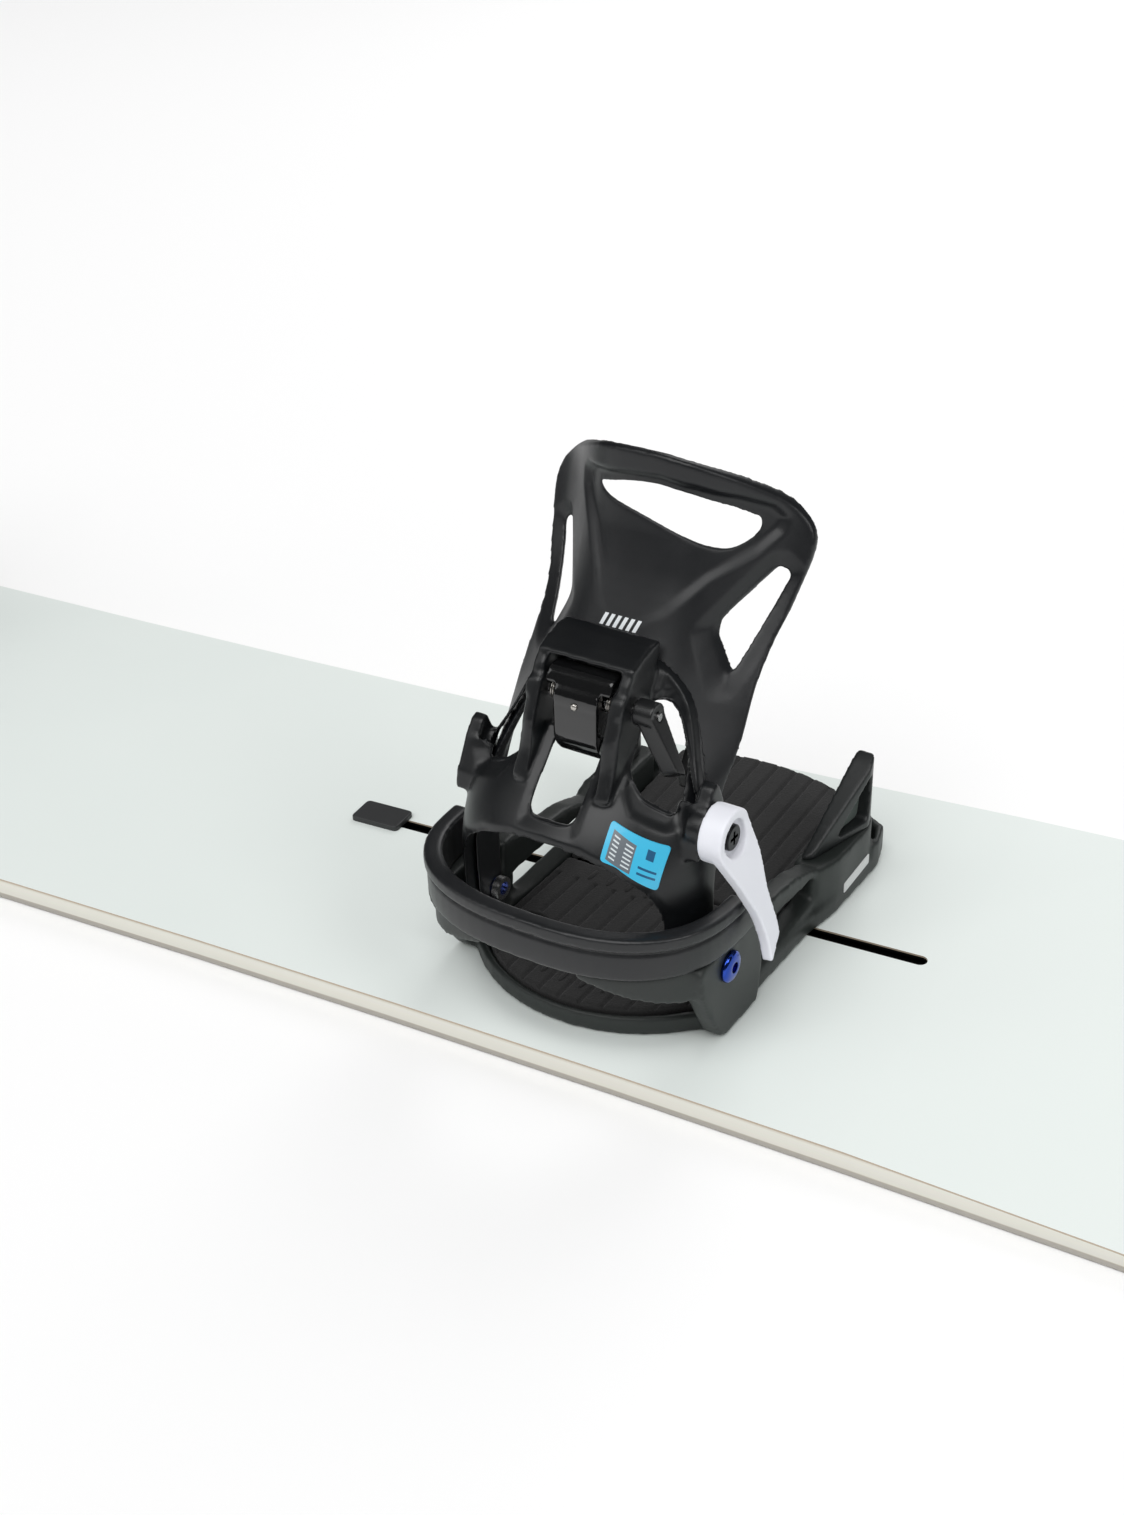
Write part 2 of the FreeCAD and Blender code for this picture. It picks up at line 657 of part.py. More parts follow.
# plan corners of a toe hook: it stands at an angle, its front end farther out
hook_plan = [(50.5, 14), (56, 18), (65, 54), (63, 61), (55, 61)]


def make_hook(side):
    side_view = rounded([(14, toe_block_top), (60, toe_block_top), (66, hook_top_z - 3), (62, hook_top_z),
                         (56, hook_top_z - 3)], 3.0)
    fin = prism_u(side_view, 40, 75).common(prism_z(rounded(hook_plan, 2.0), 20, 80))
    window = prism_u(rounded([(33, toe_block_top + 4), (54, toe_block_top + 4), (57, 53), (54, 54)], 3.0), 40, 75)
    body = fin.cut(window)
    return body if side > 0 else other_side(body)


def make_catch():
    """Thin plates that close the toe hooks' windows on the inside."""
    plate = prism_u(rounded([(33.4, toe_block_top + 4.4), (53.6, toe_block_top + 4.4), (56.4, 52.8), (54, 53.4)], 3.0),
                    40, 75)
    slab = prism_z([(52.0, 14), (54.0, 14), (59.0, 61), (57.0, 61)], 20, 80)
    slab.translate(V(1.0, 0, 0))
    return Part.makeCompound(both_sides(plate.common(slab)))


def make_hook_screws():
    screws = []
    for v in (30.0, 52.0):
        u = 56.5 + (v - 30) * 0.15
        screw = fuse([cyl_z(1.5, toe_block_top - 12, toe_block_top + 2.5, u, v)])
        screws += both_sides(screw)
    return Part.makeCompound(screws), screws


def make_hinge_hardware():
    bolts, nuts = [], []
    inner = lower_half - carrier_wall - slide_gap - shell_wall
    for side in (1, -1):
        head = cyl_u(hinge_head_r, heel_arm_outer, heel_arm_outer + hinge_head_t, hinge_v, hinge_z)
        head = head.makeFillet(0.9, [e for e in head.Edges if e.BoundBox.XMin > heel_arm_outer + 2])
        end = inner - nut_gap - hinge_nut_t
        shank = cyl_u(hinge_bolt_r, end, heel_arm_outer, hinge_v, hinge_z)
        bolt = fuse([head, shank])
        outer = heel_arm_outer + hinge_head_t
        hole = Part.makeCylinder(1.7, 1.8, V(outer - 1.7, hinge_v, hinge_z), V(1, 0, 0))
        bolt = bolt.cut(hole)
        nut = cyl_u(hinge_nut_r, end, end + hinge_nut_t, hinge_v, hinge_z)
        nut = nut.cut(cyl_u(hinge_bolt_r, 0, 80, hinge_v, hinge_z))
        bolts.append(bolt if side > 0 else other_side(bolt))
        nuts.append(nut if side > 0 else other_side(nut))
    return Part.makeCompound(bolts), Part.makeCompound(nuts)


def make_mounting():
    bolts, washers, nuts = [], [], []
    seat = plate_thick + washer_t
    nut_top = -top_layer - rail_wall - 0.2
    for u in (mount_u, -mount_u):
        head = cyl_z(mount_head_r, seat, seat + mount_head_t, u, 0)
        shank = cyl_z(mount_bolt_r, nut_top - nut_thick, seat, u, 0)
        bolts.append(fuse([head, shank]))
        washer = cyl_z(washer_r, plate_thick, seat, u, 0)
        washers.append(washer.cut(cyl_z(mount_bolt_r + 0.3, 0, 20, u, 0)))
        nut = block(u - nut_width / 2, u + nut_width / 2, -nut_width / 2, nut_width / 2, nut_top - nut_thick, nut_top)
        nuts.append(nut.cut(cyl_z(mount_bolt_r, -20, 20, u, 0)))
    return [along_channel(Part.makeCompound(group)) for group in (bolts, washers, nuts)]


def make_label():
    patch = prism_v(rounded([(24.8, 102), (46.3, 92), (45.2, 76.5), (31, 87), (25, 89)], 1.5), -150, -60)
    skin = shell(carrier_wall + slide_gap + label_thick, label_thick)
    return skin.common(patch)


def make_strips():
    strip = prism_u(rounded([(30, 7), (55, 9), (55, 14), (30, 12)], 1.0), toe_corner_half, toe_corner_half + 0.3)
    return Part.makeCompound(both_sides(strip))


def make_binding():
    parts = {}
    body = make_baseplate()
    heel, front = make_foam()
    hooks = {"toe_hook_lateral": make_hook(1), "toe_hook_medial": make_hook(-1)}
    screws, screw_list = make_hook_screws()
    for s in screw_list:
        body = body.cut(s)
    for name in hooks:
        for s in screw_list:
            hooks[name] = hooks[name].cut(s)
    parts["baseplate"] = body
    parts["footbed_heel"] = heel
    parts["footbed_front"] = front
    parts["heel_hoop"] = make_hoop()
    parts.update(hooks)
    parts["toe_catches"] = make_catch()
    parts["toe_hook_screws"] = screws
    parts["highback"] = make_highback()
    parts["heel_carrier"] = make_carrier()
    parts["heel_latch"] = make_latch()
    parts["latch_pin"] = cyl_u(pin_r, -cheek_out, cheek_out, pin_v, pin_z)
    parts["latch_springs"] = make_springs()
    parts["release_lever"] = make_release_lever()
    parts["release_lever_screw"] = make_lever_screw()
    parts["lean_lever"] = make_lean_lever()
    parts["lean_pin"] = make_lean_pin()
    parts["lean_block"] = make_lean_block()
    parts["hinge_bolts"], parts["hinge_nuts"] = make_hinge_hardware()
    parts["mounting_bolts"], parts["mounting_washers"], parts["channel_nuts"] = make_mounting()
    parts["size_label"] = make_label()
    parts["side_strips"] = make_strips()
    return parts


# ---------------------------------------------------------------- build
def place(shape, side):
    """Move a binding piece from its own frame to its place on the board."""
    s = shape.copy()
    s.rotate(V(0, 0, 0), V(0, 0, 1), -duck_angle)
    s.translate(V(stance_half, 0, thickness_mid))
    return s if side > 0 else s.mirror(V(0, 0, 0), V(1, 0, 0))


def main():
    os.makedirs("parts", exist_ok=True)
    nodes = make_board()
    for name, shape in make_binding().items():
        nodes[name + "_right"] = place(shape, 1)
        nodes[name + "_left"] = place(shape, -1)
    for name, shape in nodes.items():
        solids = shape.Solids
        ok = all(s.isValid() for s in solids)
        if not name.endswith("_left"):
            print("%-26s %2d solids  %9.1f mm3  %s" % (name, len(solids), shape.Volume, "ok" if ok else "INVALID"))
        out = solids[0] if len(solids) == 1 else Part.makeCompound(solids)
        out.exportStep(os.path.join("parts", name + ".step"))
    print(len(nodes), "nodes")


main()
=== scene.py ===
import math

import bmesh
import bpy
import numpy as np
from mathutils import Matrix, Vector


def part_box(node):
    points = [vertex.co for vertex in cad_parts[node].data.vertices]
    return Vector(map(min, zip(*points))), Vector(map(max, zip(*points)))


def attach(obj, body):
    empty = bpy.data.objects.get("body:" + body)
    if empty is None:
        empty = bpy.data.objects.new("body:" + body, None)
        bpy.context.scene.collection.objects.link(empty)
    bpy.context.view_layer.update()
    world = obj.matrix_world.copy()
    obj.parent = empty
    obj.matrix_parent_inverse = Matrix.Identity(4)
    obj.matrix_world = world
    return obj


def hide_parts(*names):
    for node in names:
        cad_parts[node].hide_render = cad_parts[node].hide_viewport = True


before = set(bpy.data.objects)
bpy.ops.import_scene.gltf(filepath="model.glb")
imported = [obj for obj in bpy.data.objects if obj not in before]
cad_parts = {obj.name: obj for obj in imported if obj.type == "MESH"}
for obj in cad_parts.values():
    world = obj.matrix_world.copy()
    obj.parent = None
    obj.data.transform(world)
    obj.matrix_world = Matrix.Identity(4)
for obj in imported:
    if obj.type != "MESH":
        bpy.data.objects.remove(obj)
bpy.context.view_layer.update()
print("frame loaded, nodes:", len(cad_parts))

# the binding's own frame: u sideways, v towards the toes, z up from the board's top, in mm
seating = {"hingeV": -77.0, "hingeZ": 35.0, "duck": math.radians(5.3)}


def seatMatrix():
    low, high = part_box("hinge_bolts_right")
    middle = (low + high) / 2
    turn = Matrix.Rotation(-seating["duck"], 4, "Z")
    offset = turn @ Vector((0.0, seating["hingeV"], seating["hingeZ"])) * 0.001
    return Matrix.Translation(middle - offset) @ turn @ Matrix.Scale(0.001, 4)


seat = seatMatrix()
unseat = seat.inverted()


def asArray(matrix):
    return np.array([list(row) for row in matrix])


seatRows = asArray(seat)
unseatRows = asArray(unseat)


def carry(rows, points):
    return points @ rows[:3, :3].T + rows[:3, 3]


def readPoints(mesh):
    flat = np.zeros(len(mesh.vertices) * 3)
    mesh.vertices.foreach_get("co", flat)
    return flat.reshape(-1, 3)


def writePoints(mesh, points):
    mesh.vertices.foreach_set("co", np.ascontiguousarray(points, dtype=np.float32).ravel())
    mesh.update()


def readNormals(mesh):
    flat = np.zeros(len(mesh.vertices) * 3)
    mesh.vertex_normals.foreach_get("vector", flat)
    return flat.reshape(-1, 3)


def smoothRise(t):
    t = np.clip(t, 0.0, 1.0)
    return t * t * (3 - 2 * t)


def outlineDistance(outline, a, b):
    # signed distance from points (a, b) to a closed outline, above zero inside it
    corners = np.array(outline, float)
    nearest = np.full(len(a), 1e9)
    inside = np.zeros(len(a), bool)
    count = len(corners)
    for i in range(count):
        p, q = corners[i], corners[(i + 1) % count]
        d = q - p
        t = np.clip(((a - p[0]) * d[0] + (b - p[1]) * d[1]) / (d @ d), 0.0, 1.0)
        gap = np.hypot(a - p[0] - t * d[0], b - p[1] - t * d[1])
        nearest = np.minimum(nearest, gap)
        crosses = (p[1] > b) != (q[1] > b)
        if abs(d[1]) > 1e-9:
            inside ^= crosses & (a < p[0] + (b - p[1]) * d[0] / d[1])
    return np.where(inside, nearest, -nearest)


def mirrored(outline):
    return [(-u, z) for u, z in reversed(outline)]


def linkObject(name, mesh):
    piece = bpy.data.objects.new(name, mesh)
    bpy.context.scene.collection.objects.link(piece)
    return piece


def plainMesh(piece):
    bpy.context.view_layer.update()
    graph = bpy.context.evaluated_depsgraph_get()
    return bpy.data.meshes.new_from_object(piece.evaluated_get(graph))


def bakeModifiers(piece):
    made = plainMesh(piece)
    piece.modifiers.clear()
    old = piece.data
    piece.data = made
    if isinstance(old, bpy.types.Mesh):
        bpy.data.meshes.remove(old)
    return piece


def shadeSmooth(mesh, angle=None):
    mesh.polygons.foreach_set("use_smooth", [True] * len(mesh.polygons))
    if angle is not None:
        mesh.set_sharp_from_angle(angle=math.radians(angle))
    mesh.update()


def sidePrism(kit, outline, u0, u1):
    # closed block over a side outline of (v, z) points, from u0 to u1, in mm
    rings = []
    for u in (u0, u1):
        rings.append([kit.verts.new(seat @ Vector((u, v, z))) for v, z in outline])
    count = len(outline)
    faces = [kit.faces.new(rings[0]), kit.faces.new(list(reversed(rings[1])))]
    for k in range(count):
        n = (k + 1) % count
        faces.append(kit.faces.new((rings[0][n], rings[0][k], rings[1][k], rings[1][n])))
    bmesh.ops.recalc_face_normals(kit, faces=faces)


def moulded(node, voxel, passes=6, shape=None, keep=1.0, relax=0, blocks=()):
    # a moulded copy of a right-hand CAD node: remeshed, edges eased, then shaped in mm
    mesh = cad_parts[node + "_right"].data.copy()
    mesh.materials.clear()
    kit = bmesh.new()
    kit.from_mesh(mesh)
    bmesh.ops.remove_doubles(kit, verts=kit.verts, dist=2e-6)
    for outline, u0, u1 in blocks:
        sidePrism(kit, outline, u0, u1)
    kit.to_mesh(mesh)
    kit.free()
    piece = linkObject(node + "Blank", mesh)
    remesh = piece.modifiers.new("remesh", "REMESH")
    remesh.mode = "VOXEL"
    remesh.voxel_size = voxel * 0.001
    ease = piece.modifiers.new("ease", "SMOOTH")
    ease.factor = 0.5
    ease.iterations = passes
    bakeModifiers(piece)
    if shape is not None:
        points = carry(unseatRows, readPoints(piece.data))
        normals = readNormals(piece.data) @ unseatRows[:3, :3].T * 0.001
        moved = shape(points, normals)
        writePoints(piece.data, carry(seatRows, moved))
    if relax:
        ease = piece.modifiers.new("relax", "SMOOTH")
        ease.factor = 0.5
        ease.iterations = relax
    if keep < 1.0:
        thin = piece.modifiers.new("thin", "DECIMATE")
        thin.ratio = keep
    if relax or keep < 1.0:
        bakeModifiers(piece)
    result = piece.data
    bpy.data.objects.remove(piece)
    shadeSmooth(result)
    return result


def otherHand(mesh):
    twin = mesh.copy()
    points = readPoints(twin)
    points[:, 0] *= -1
    writePoints(twin, points)
    twin.flip_normals()
    return twin


def setLocal(mesh, hand):
    # keeps each point's place in the binding's frame, in metres, for the patterns
    points = readPoints(mesh)
    points[:, 0] *= hand
    local = carry(unseatRows, points) * 0.001
    layer = mesh.attributes.new("seated", "FLOAT_VECTOR", "POINT")
    layer.data.foreach_set("vector", np.ascontiguousarray(local, dtype=np.float32).ravel())


pieceCount = 0


def mount(name, mesh, finish, body, nodes):
    # puts a right-hand mesh on both bindings
    global pieceCount
    for side, hand in (("right", 1), ("left", -1)):
        own = mesh if hand > 0 else otherHand(mesh)
        own.name = name + side.capitalize()
        setLocal(own, hand)
        own.materials.clear()
        for material in finish if isinstance(finish, list) else [finish]:
            own.materials.append(material)
        piece = linkObject(name + side.capitalize(), own)
        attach(piece, body + "_" + side)
        if nodes:
            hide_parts(*[node + "_" + side for node in nodes])
        pieceCount += 1


# shader groups that several finishes share


def addSocket(group, label, way, kind, value=None, low=None, high=None):
    socket = group.interface.new_socket(name=label, in_out=way, socket_type=kind)
    if value is not None:
        socket.default_value = value
    if low is not None:
        socket.min_value = low
        socket.max_value = high
    return socket


def grainGroup():
    group = bpy.data.node_groups.new("mouldGrain", "ShaderNodeTree")
    addSocket(group, "Vector", "INPUT", "NodeSocketVector")
    addSocket(group, "Scale", "INPUT", "NodeSocketFloat", 1800.0)
    addSocket(group, "Blotch", "INPUT", "NodeSocketFloat", 40.0)
    addSocket(group, "Seed", "INPUT", "NodeSocketFloat", 0.0)
    addSocket(group, "Height", "OUTPUT", "NodeSocketFloat")
    addSocket(group, "Cloud", "OUTPUT", "NodeSocketFloat")
    nodes, links = group.nodes, group.links
    start = nodes.new("NodeGroupInput")
    end = nodes.new("NodeGroupOutput")
    fine = nodes.new("ShaderNodeTexNoise")
    fine.noise_dimensions = "4D"
    fine.inputs["Detail"].default_value = 3.0
    fine.inputs["Roughness"].default_value = 0.6
    cloud = nodes.new("ShaderNodeTexNoise")
    cloud.noise_dimensions = "4D"
    cloud.inputs["Detail"].default_value = 4.0
    links.new(start.outputs["Vector"], fine.inputs["Vector"])
    links.new(start.outputs["Vector"], cloud.inputs["Vector"])
    links.new(start.outputs["Scale"], fine.inputs["Scale"])
    links.new(start.outputs["Blotch"], cloud.inputs["Scale"])
    links.new(start.outputs["Seed"], fine.inputs["W"])
    links.new(start.outputs["Seed"], cloud.inputs["W"])
    links.new(fine.outputs["Fac"], end.inputs["Height"])
    links.new(cloud.outputs["Fac"], end.inputs["Cloud"])
    return group


def rubGroup():
    # pale rubbing along proud edges, broken up by noise
    group = bpy.data.node_groups.new("edgeRub", "ShaderNodeTree")
    addSocket(group, "Vector", "INPUT", "NodeSocketVector")
    addSocket(group, "Pointiness", "INPUT", "NodeSocketFloat", 0.5)
    addSocket(group, "Start", "INPUT", "NodeSocketFloat", 0.53)
    addSocket(group, "End", "INPUT", "NodeSocketFloat", 0.62)
    addSocket(group, "Breakup", "INPUT", "NodeSocketFloat", 220.0)
    addSocket(group, "Mask", "OUTPUT", "NodeSocketFloat")
    nodes, links = group.nodes, group.links
    start = nodes.new("NodeGroupInput")
    end = nodes.new("NodeGroupOutput")
    span = nodes.new("ShaderNodeMapRange")
    noise = nodes.new("ShaderNodeTexNoise")
    noise.inputs["Detail"].default_value = 3.0
    spread = nodes.new("ShaderNodeMapRange")
    spread.inputs["From Min"].default_value = 0.35
    spread.inputs["From Max"].default_value = 0.7
    both = nodes.new("ShaderNodeMath")
    both.operation = "MULTIPLY"
    links.new(start.outputs["Pointiness"], span.inputs["Value"])
    links.new(start.outputs["Start"], span.inputs["From Min"])
    links.new(start.outputs["End"], span.inputs["From Max"])
    links.new(start.outputs["Vector"], noise.inputs["Vector"])
    links.new(start.outputs["Breakup"], noise.inputs["Scale"])
    links.new(noise.outputs["Fac"], spread.inputs["Value"])
    links.new(span.outputs["Result"], both.inputs[0])
    links.new(spread.outputs["Result"], both.inputs[1])
    links.new(both.outputs["Value"], end.inputs["Mask"])
    return group


def barsGroup():
    # a rectangle of evenly spaced bars
    group = bpy.data.node_groups.new("printedBars", "ShaderNodeTree")
    for label, value in (("X", 0.0), ("Y", 0.0), ("Left", 0.0), ("Right", 1.0), ("Low", 0.0), ("High", 1.0),
                         ("Rows", 1.0), ("Fill", 1.1)):
        addSocket(group, label, "INPUT", "NodeSocketFloat", value)
    addSocket(group, "Mask", "OUTPUT", "NodeSocketFloat")
    nodes, links = group.nodes, group.links
    start = nodes.new("NodeGroupInput")
    end = nodes.new("NodeGroupOutput")

    def sums(kind, a, b):
        node = nodes.new("ShaderNodeMath")
        node.operation = kind
        for k, source in enumerate((a, b)):
            if isinstance(source, (int, float)):
                node.inputs[k].default_value = source
            else:
                links.new(source, node.inputs[k])
        return node.outputs["Value"]

    pins = start.outputs
    mask = sums("GREATER_THAN", pins["X"], pins["Left"])
    mask = sums("MULTIPLY", mask, sums("LESS_THAN", pins["X"], pins["Right"]))
    mask = sums("MULTIPLY", mask, sums("GREATER_THAN", pins["Y"], pins["Low"]))
    mask = sums("MULTIPLY", mask, sums("LESS_THAN", pins["Y"], pins["High"]))
    height = sums("SUBTRACT", pins["High"], pins["Low"])
    span = sums("DIVIDE", sums("SUBTRACT", pins["Y"], pins["Low"]), height)
    beat = sums("FRACT", sums("MULTIPLY", span, pins["Rows"]), 0.0)
    mask = sums("MULTIPLY", mask, sums("LESS_THAN", beat, pins["Fill"]))
    links.new(mask, end.inputs["Mask"])
    return group


grain = grainGroup()
edgeRub = rubGroup()
printedBars = barsGroup()


def addBars(nodes, links, x, y, under, color, **sizes):
    # prints bars of one colour over what is under them
    bars = nodes.new("ShaderNodeGroup")
    bars.node_tree = printedBars
    for label, value in sizes.items():
        bars.inputs[label].default_value = value
    links.new(x, bars.inputs["X"])
    links.new(y, bars.inputs["Y"])
    ink = nodes.new("ShaderNodeMix")
    ink.data_type = "RGBA"
    ink.inputs["B"].default_value = (*color, 1)
    links.new(under, ink.inputs["A"])
    links.new(bars.outputs["Mask"], ink.inputs["Factor"])
    return ink.outputs["Result"]


def scaled(nodes, links, source, factor, extra):
    node = nodes.new("ShaderNodeMath")
    node.operation = "MULTIPLY_ADD"
    links.new(source, node.inputs[0])
    node.inputs[1].default_value = factor
    if isinstance(extra, float):
        node.inputs[2].default_value = extra
    else:
        links.new(extra, node.inputs[2])
    return node.outputs["Value"]


def startFinish(name, **values):
    material = bpy.data.materials.new(name)
    material.use_nodes = True
    nodes = material.node_tree.nodes
    shader = nodes["Principled BSDF"]
    for label, value in values.items():
        shader.inputs[label.replace("_", " ")].default_value = value
    return material, nodes, material.node_tree.links, shader


def placeCoords(nodes, attribute):
    if attribute:
        source = nodes.new("ShaderNodeAttribute")
        source.attribute_name = attribute
        return source.outputs["Vector"]
    return nodes.new("ShaderNodeTexCoord").outputs["Object"]


def addGrain(nodes, links, place, scale, blotch, seed=0.0):
    group = nodes.new("ShaderNodeGroup")
    group.node_tree = grain
    group.inputs["Scale"].default_value = scale
    group.inputs["Blotch"].default_value = blotch
    group.inputs["Seed"].default_value = seed
    links.new(place, group.inputs["Vector"])
    return group.outputs["Height"], group.outputs["Cloud"]


def blendColors(nodes, links, factor, dark, pale):
    tone = nodes.new("ShaderNodeMix")
    tone.data_type = "RGBA"
    for label, source in (("A", dark), ("B", pale)):
        if isinstance(source, tuple):
            tone.inputs[label].default_value = (*source, 1)
        else:
            links.new(source, tone.inputs[label])
    links.new(factor, tone.inputs["Factor"])
    return tone.outputs["Result"]


def remap(nodes, links, source, toSpan, fromSpan=(0.0, 1.0)):
    node = nodes.new("ShaderNodeMapRange")
    node.inputs["From Min"].default_value = fromSpan[0]
    node.inputs["From Max"].default_value = fromSpan[1]
    node.inputs["To Min"].default_value = toSpan[0]
    node.inputs["To Max"].default_value = toSpan[1]
    links.new(source, node.inputs["Value"])
    return node.outputs["Result"]


def addRelief(nodes, links, shader, height, strength, distance=0.0001):
    relief = nodes.new("ShaderNodeBump")
    relief.inputs["Strength"].default_value = strength
    relief.inputs["Distance"].default_value = distance
    links.new(height, relief.inputs["Height"])
    links.new(relief.outputs["Normal"], shader.inputs["Normal"])


def plasticFinish(name, dark, pale, rough, grainSize, bump, attribute="seated", blotch=45.0, seed=0.0,
                  rubColor=None, rubStart=0.54, rubEnd=0.66, coat=0.0, marks=None):
    material, nodes, links, shader = startFinish(name, Coat_Weight=coat, Coat_Roughness=0.12)
    place = placeCoords(nodes, attribute)
    height, cloud = addGrain(nodes, links, place, grainSize, blotch, seed)
    color = blendColors(nodes, links, cloud, dark, pale)
    if rubColor is not None:
        rub = nodes.new("ShaderNodeGroup")
        rub.node_tree = edgeRub
        rub.inputs["Start"].default_value = rubStart
        rub.inputs["End"].default_value = rubEnd
        links.new(place, rub.inputs["Vector"])
        links.new(nodes.new("ShaderNodeNewGeometry").outputs["Pointiness"], rub.inputs["Pointiness"])
        color = blendColors(nodes, links, rub.outputs["Mask"], color, rubColor)
    if marks is not None:
        split = nodes.new("ShaderNodeSeparateXYZ")
        links.new(place, split.inputs["Vector"])
        lean = scaled(nodes, links, split.outputs["Z"], marks["lean"], 0.0)
        along = scaled(nodes, links, split.outputs["X"], 1.0, lean)
        color = addBars(nodes, links, split.outputs["Z"], along, color, marks["color"], **marks["sizes"])
    links.new(color, shader.inputs["Base Color"])
    links.new(remap(nodes, links, cloud, rough, (0.3, 0.7)), shader.inputs["Roughness"])
    addRelief(nodes, links, shader, height, bump, 0.0002)
    return material


def metalFinish(name, color, pale, rough, brushed, attribute="seated", coat=0.0):
    material, nodes, links, shader = startFinish(name, Metallic=1.0, Coat_Weight=coat)
    stretch = nodes.new("ShaderNodeMapping")
    stretch.inputs["Scale"].default_value = brushed
    links.new(placeCoords(nodes, attribute), stretch.inputs["Vector"])
    lines = nodes.new("ShaderNodeTexNoise")
    lines.inputs["Scale"].default_value = 900.0
    lines.inputs["Detail"].default_value = 3.0
    links.new(stretch.outputs["Vector"], lines.inputs["Vector"])
    streaks = lines.outputs["Fac"]
    links.new(blendColors(nodes, links, streaks, color, pale), shader.inputs["Base Color"])
    links.new(remap(nodes, links, streaks, rough), shader.inputs["Roughness"])
    addRelief(nodes, links, shader, streaks, 0.15)
    return material


# six slanted dashes printed on the highback, in metres
bladeMarks = {
    "lean": -0.35,
    "color": (0.75, 0.78, 0.8),
    "sizes": {"Left": 0.1562, "Right": 0.1604, "Low": -0.0645, "High": -0.0465, "Rows": 6.0, "Fill": 0.55},
}
plastics = {
    "bladeBlack": {"dark": (0.0045, 0.0052, 0.0066), "pale": (0.0075, 0.0084, 0.01), "rough": (0.34, 0.44),
                   "grainSize": 2600.0, "bump": 0.22, "rubColor": (0.04, 0.042, 0.045),
                   "marks": bladeMarks},
    "carrierBlack": {"dark": (0.0045, 0.0053, 0.0062), "pale": (0.0075, 0.0085, 0.0095),
                     "rough": (0.3, 0.4), "grainSize": 2600.0, "bump": 0.18, "seed": 3.0,
                     "rubColor": (0.06, 0.062, 0.065)},
    "hoopBlack": {"dark": (0.009, 0.0098, 0.011), "pale": (0.014, 0.015, 0.0165), "rough": (0.3, 0.4),
                  "grainSize": 2400.0, "bump": 0.2, "seed": 5.0, "rubColor": (0.07, 0.072, 0.075)},
    "plateCharcoal": {"dark": (0.013, 0.0165, 0.0155), "pale": (0.02, 0.0245, 0.0225), "rough": (0.4, 0.52),
                      "grainSize": 2200.0, "bump": 0.3, "seed": 8.0, "rubColor": (0.06, 0.065, 0.06)},
    "hookBlack": {"dark": (0.008, 0.0095, 0.01), "pale": (0.013, 0.0155, 0.0155), "rough": (0.34, 0.44),
                  "grainSize": 2400.0, "bump": 0.22, "seed": 11.0, "rubColor": (0.06, 0.062, 0.062)},
    "catchGreen": {"dark": (0.075, 0.09, 0.085), "pale": (0.1, 0.12, 0.11), "rough": (0.3, 0.42),
                   "grainSize": 1500.0, "bump": 0.1, "attribute": None, "seed": 13.0},
    "latchGloss": {"dark": (0.004, 0.0042, 0.0045), "pale": (0.006, 0.0062, 0.0065), "rough": (0.06, 0.13),
                   "grainSize": 500.0, "bump": 0.02, "seed": 17.0, "coat": 0.6},
    "leanBlack": {"dark": (0.008, 0.0085, 0.009), "pale": (0.013, 0.0135, 0.014), "rough": (0.26, 0.36),
                  "grainSize": 2400.0, "bump": 0.15, "seed": 19.0},
    "leverWhite": {"dark": (0.74, 0.75, 0.81), "pale": (0.82, 0.83, 0.88), "rough": (0.3, 0.42),
                   "grainSize": 2600.0, "bump": 0.1, "seed": 23.0, "rubColor": (0.86, 0.86, 0.88)},
    "baseBlack": {"dark": (0.03, 0.03, 0.03), "pale": (0.045, 0.045, 0.045), "rough": (0.35, 0.5),
                  "grainSize": 900.0, "bump": 0.15, "attribute": None, "seed": 29.0},
    "plugBlack": {"dark": (0.022, 0.023, 0.024), "pale": (0.032, 0.033, 0.034), "rough": (0.42, 0.52),
                  "grainSize": 1800.0, "bump": 0.25, "attribute": None, "seed": 31.0},
    "stripPale": {"dark": (0.62, 0.63, 0.63), "pale": (0.7, 0.71, 0.71), "rough": (0.35, 0.45),
                  "grainSize": 1800.0, "bump": 0.08, "attribute": None, "seed": 37.0},
}
metals = {
    "screwBlack": {"color": (0.02, 0.02, 0.022), "pale": (0.035, 0.035, 0.037), "rough": (0.28, 0.42),
                   "brushed": (1, 1, 1), "attribute": None},
    "springSteel": {"color": (0.42, 0.4, 0.37), "pale": (0.6, 0.58, 0.55), "rough": (0.22, 0.34),
                    "brushed": (4, 1, 1)},
    "pinSteel": {"color": (0.45, 0.45, 0.45), "pale": (0.6, 0.6, 0.6), "rough": (0.2, 0.35),
                 "brushed": (1, 6, 6), "attribute": None},
    "boltBlue": {"color": (0.012, 0.045, 0.36), "pale": (0.03, 0.09, 0.5), "rough": (0.1, 0.2),
                 "brushed": (1, 5, 5), "coat": 0.3},
    "railDark": {"color": (0.03, 0.03, 0.03), "pale": (0.05, 0.05, 0.05), "rough": (0.4, 0.55),
                 "brushed": (1, 8, 8), "attribute": None},
    "edgeSteel": {"color": (0.36, 0.34, 0.31), "pale": (0.52, 0.5, 0.46), "rough": (0.3, 0.45),
                  "brushed": (0.3, 8, 8), "attribute": None},
}
finishes = {name: plasticFinish(name, **values) for name, values in plastics.items()}
finishes.update({name: metalFinish(name, **values) for name, values in metals.items()})


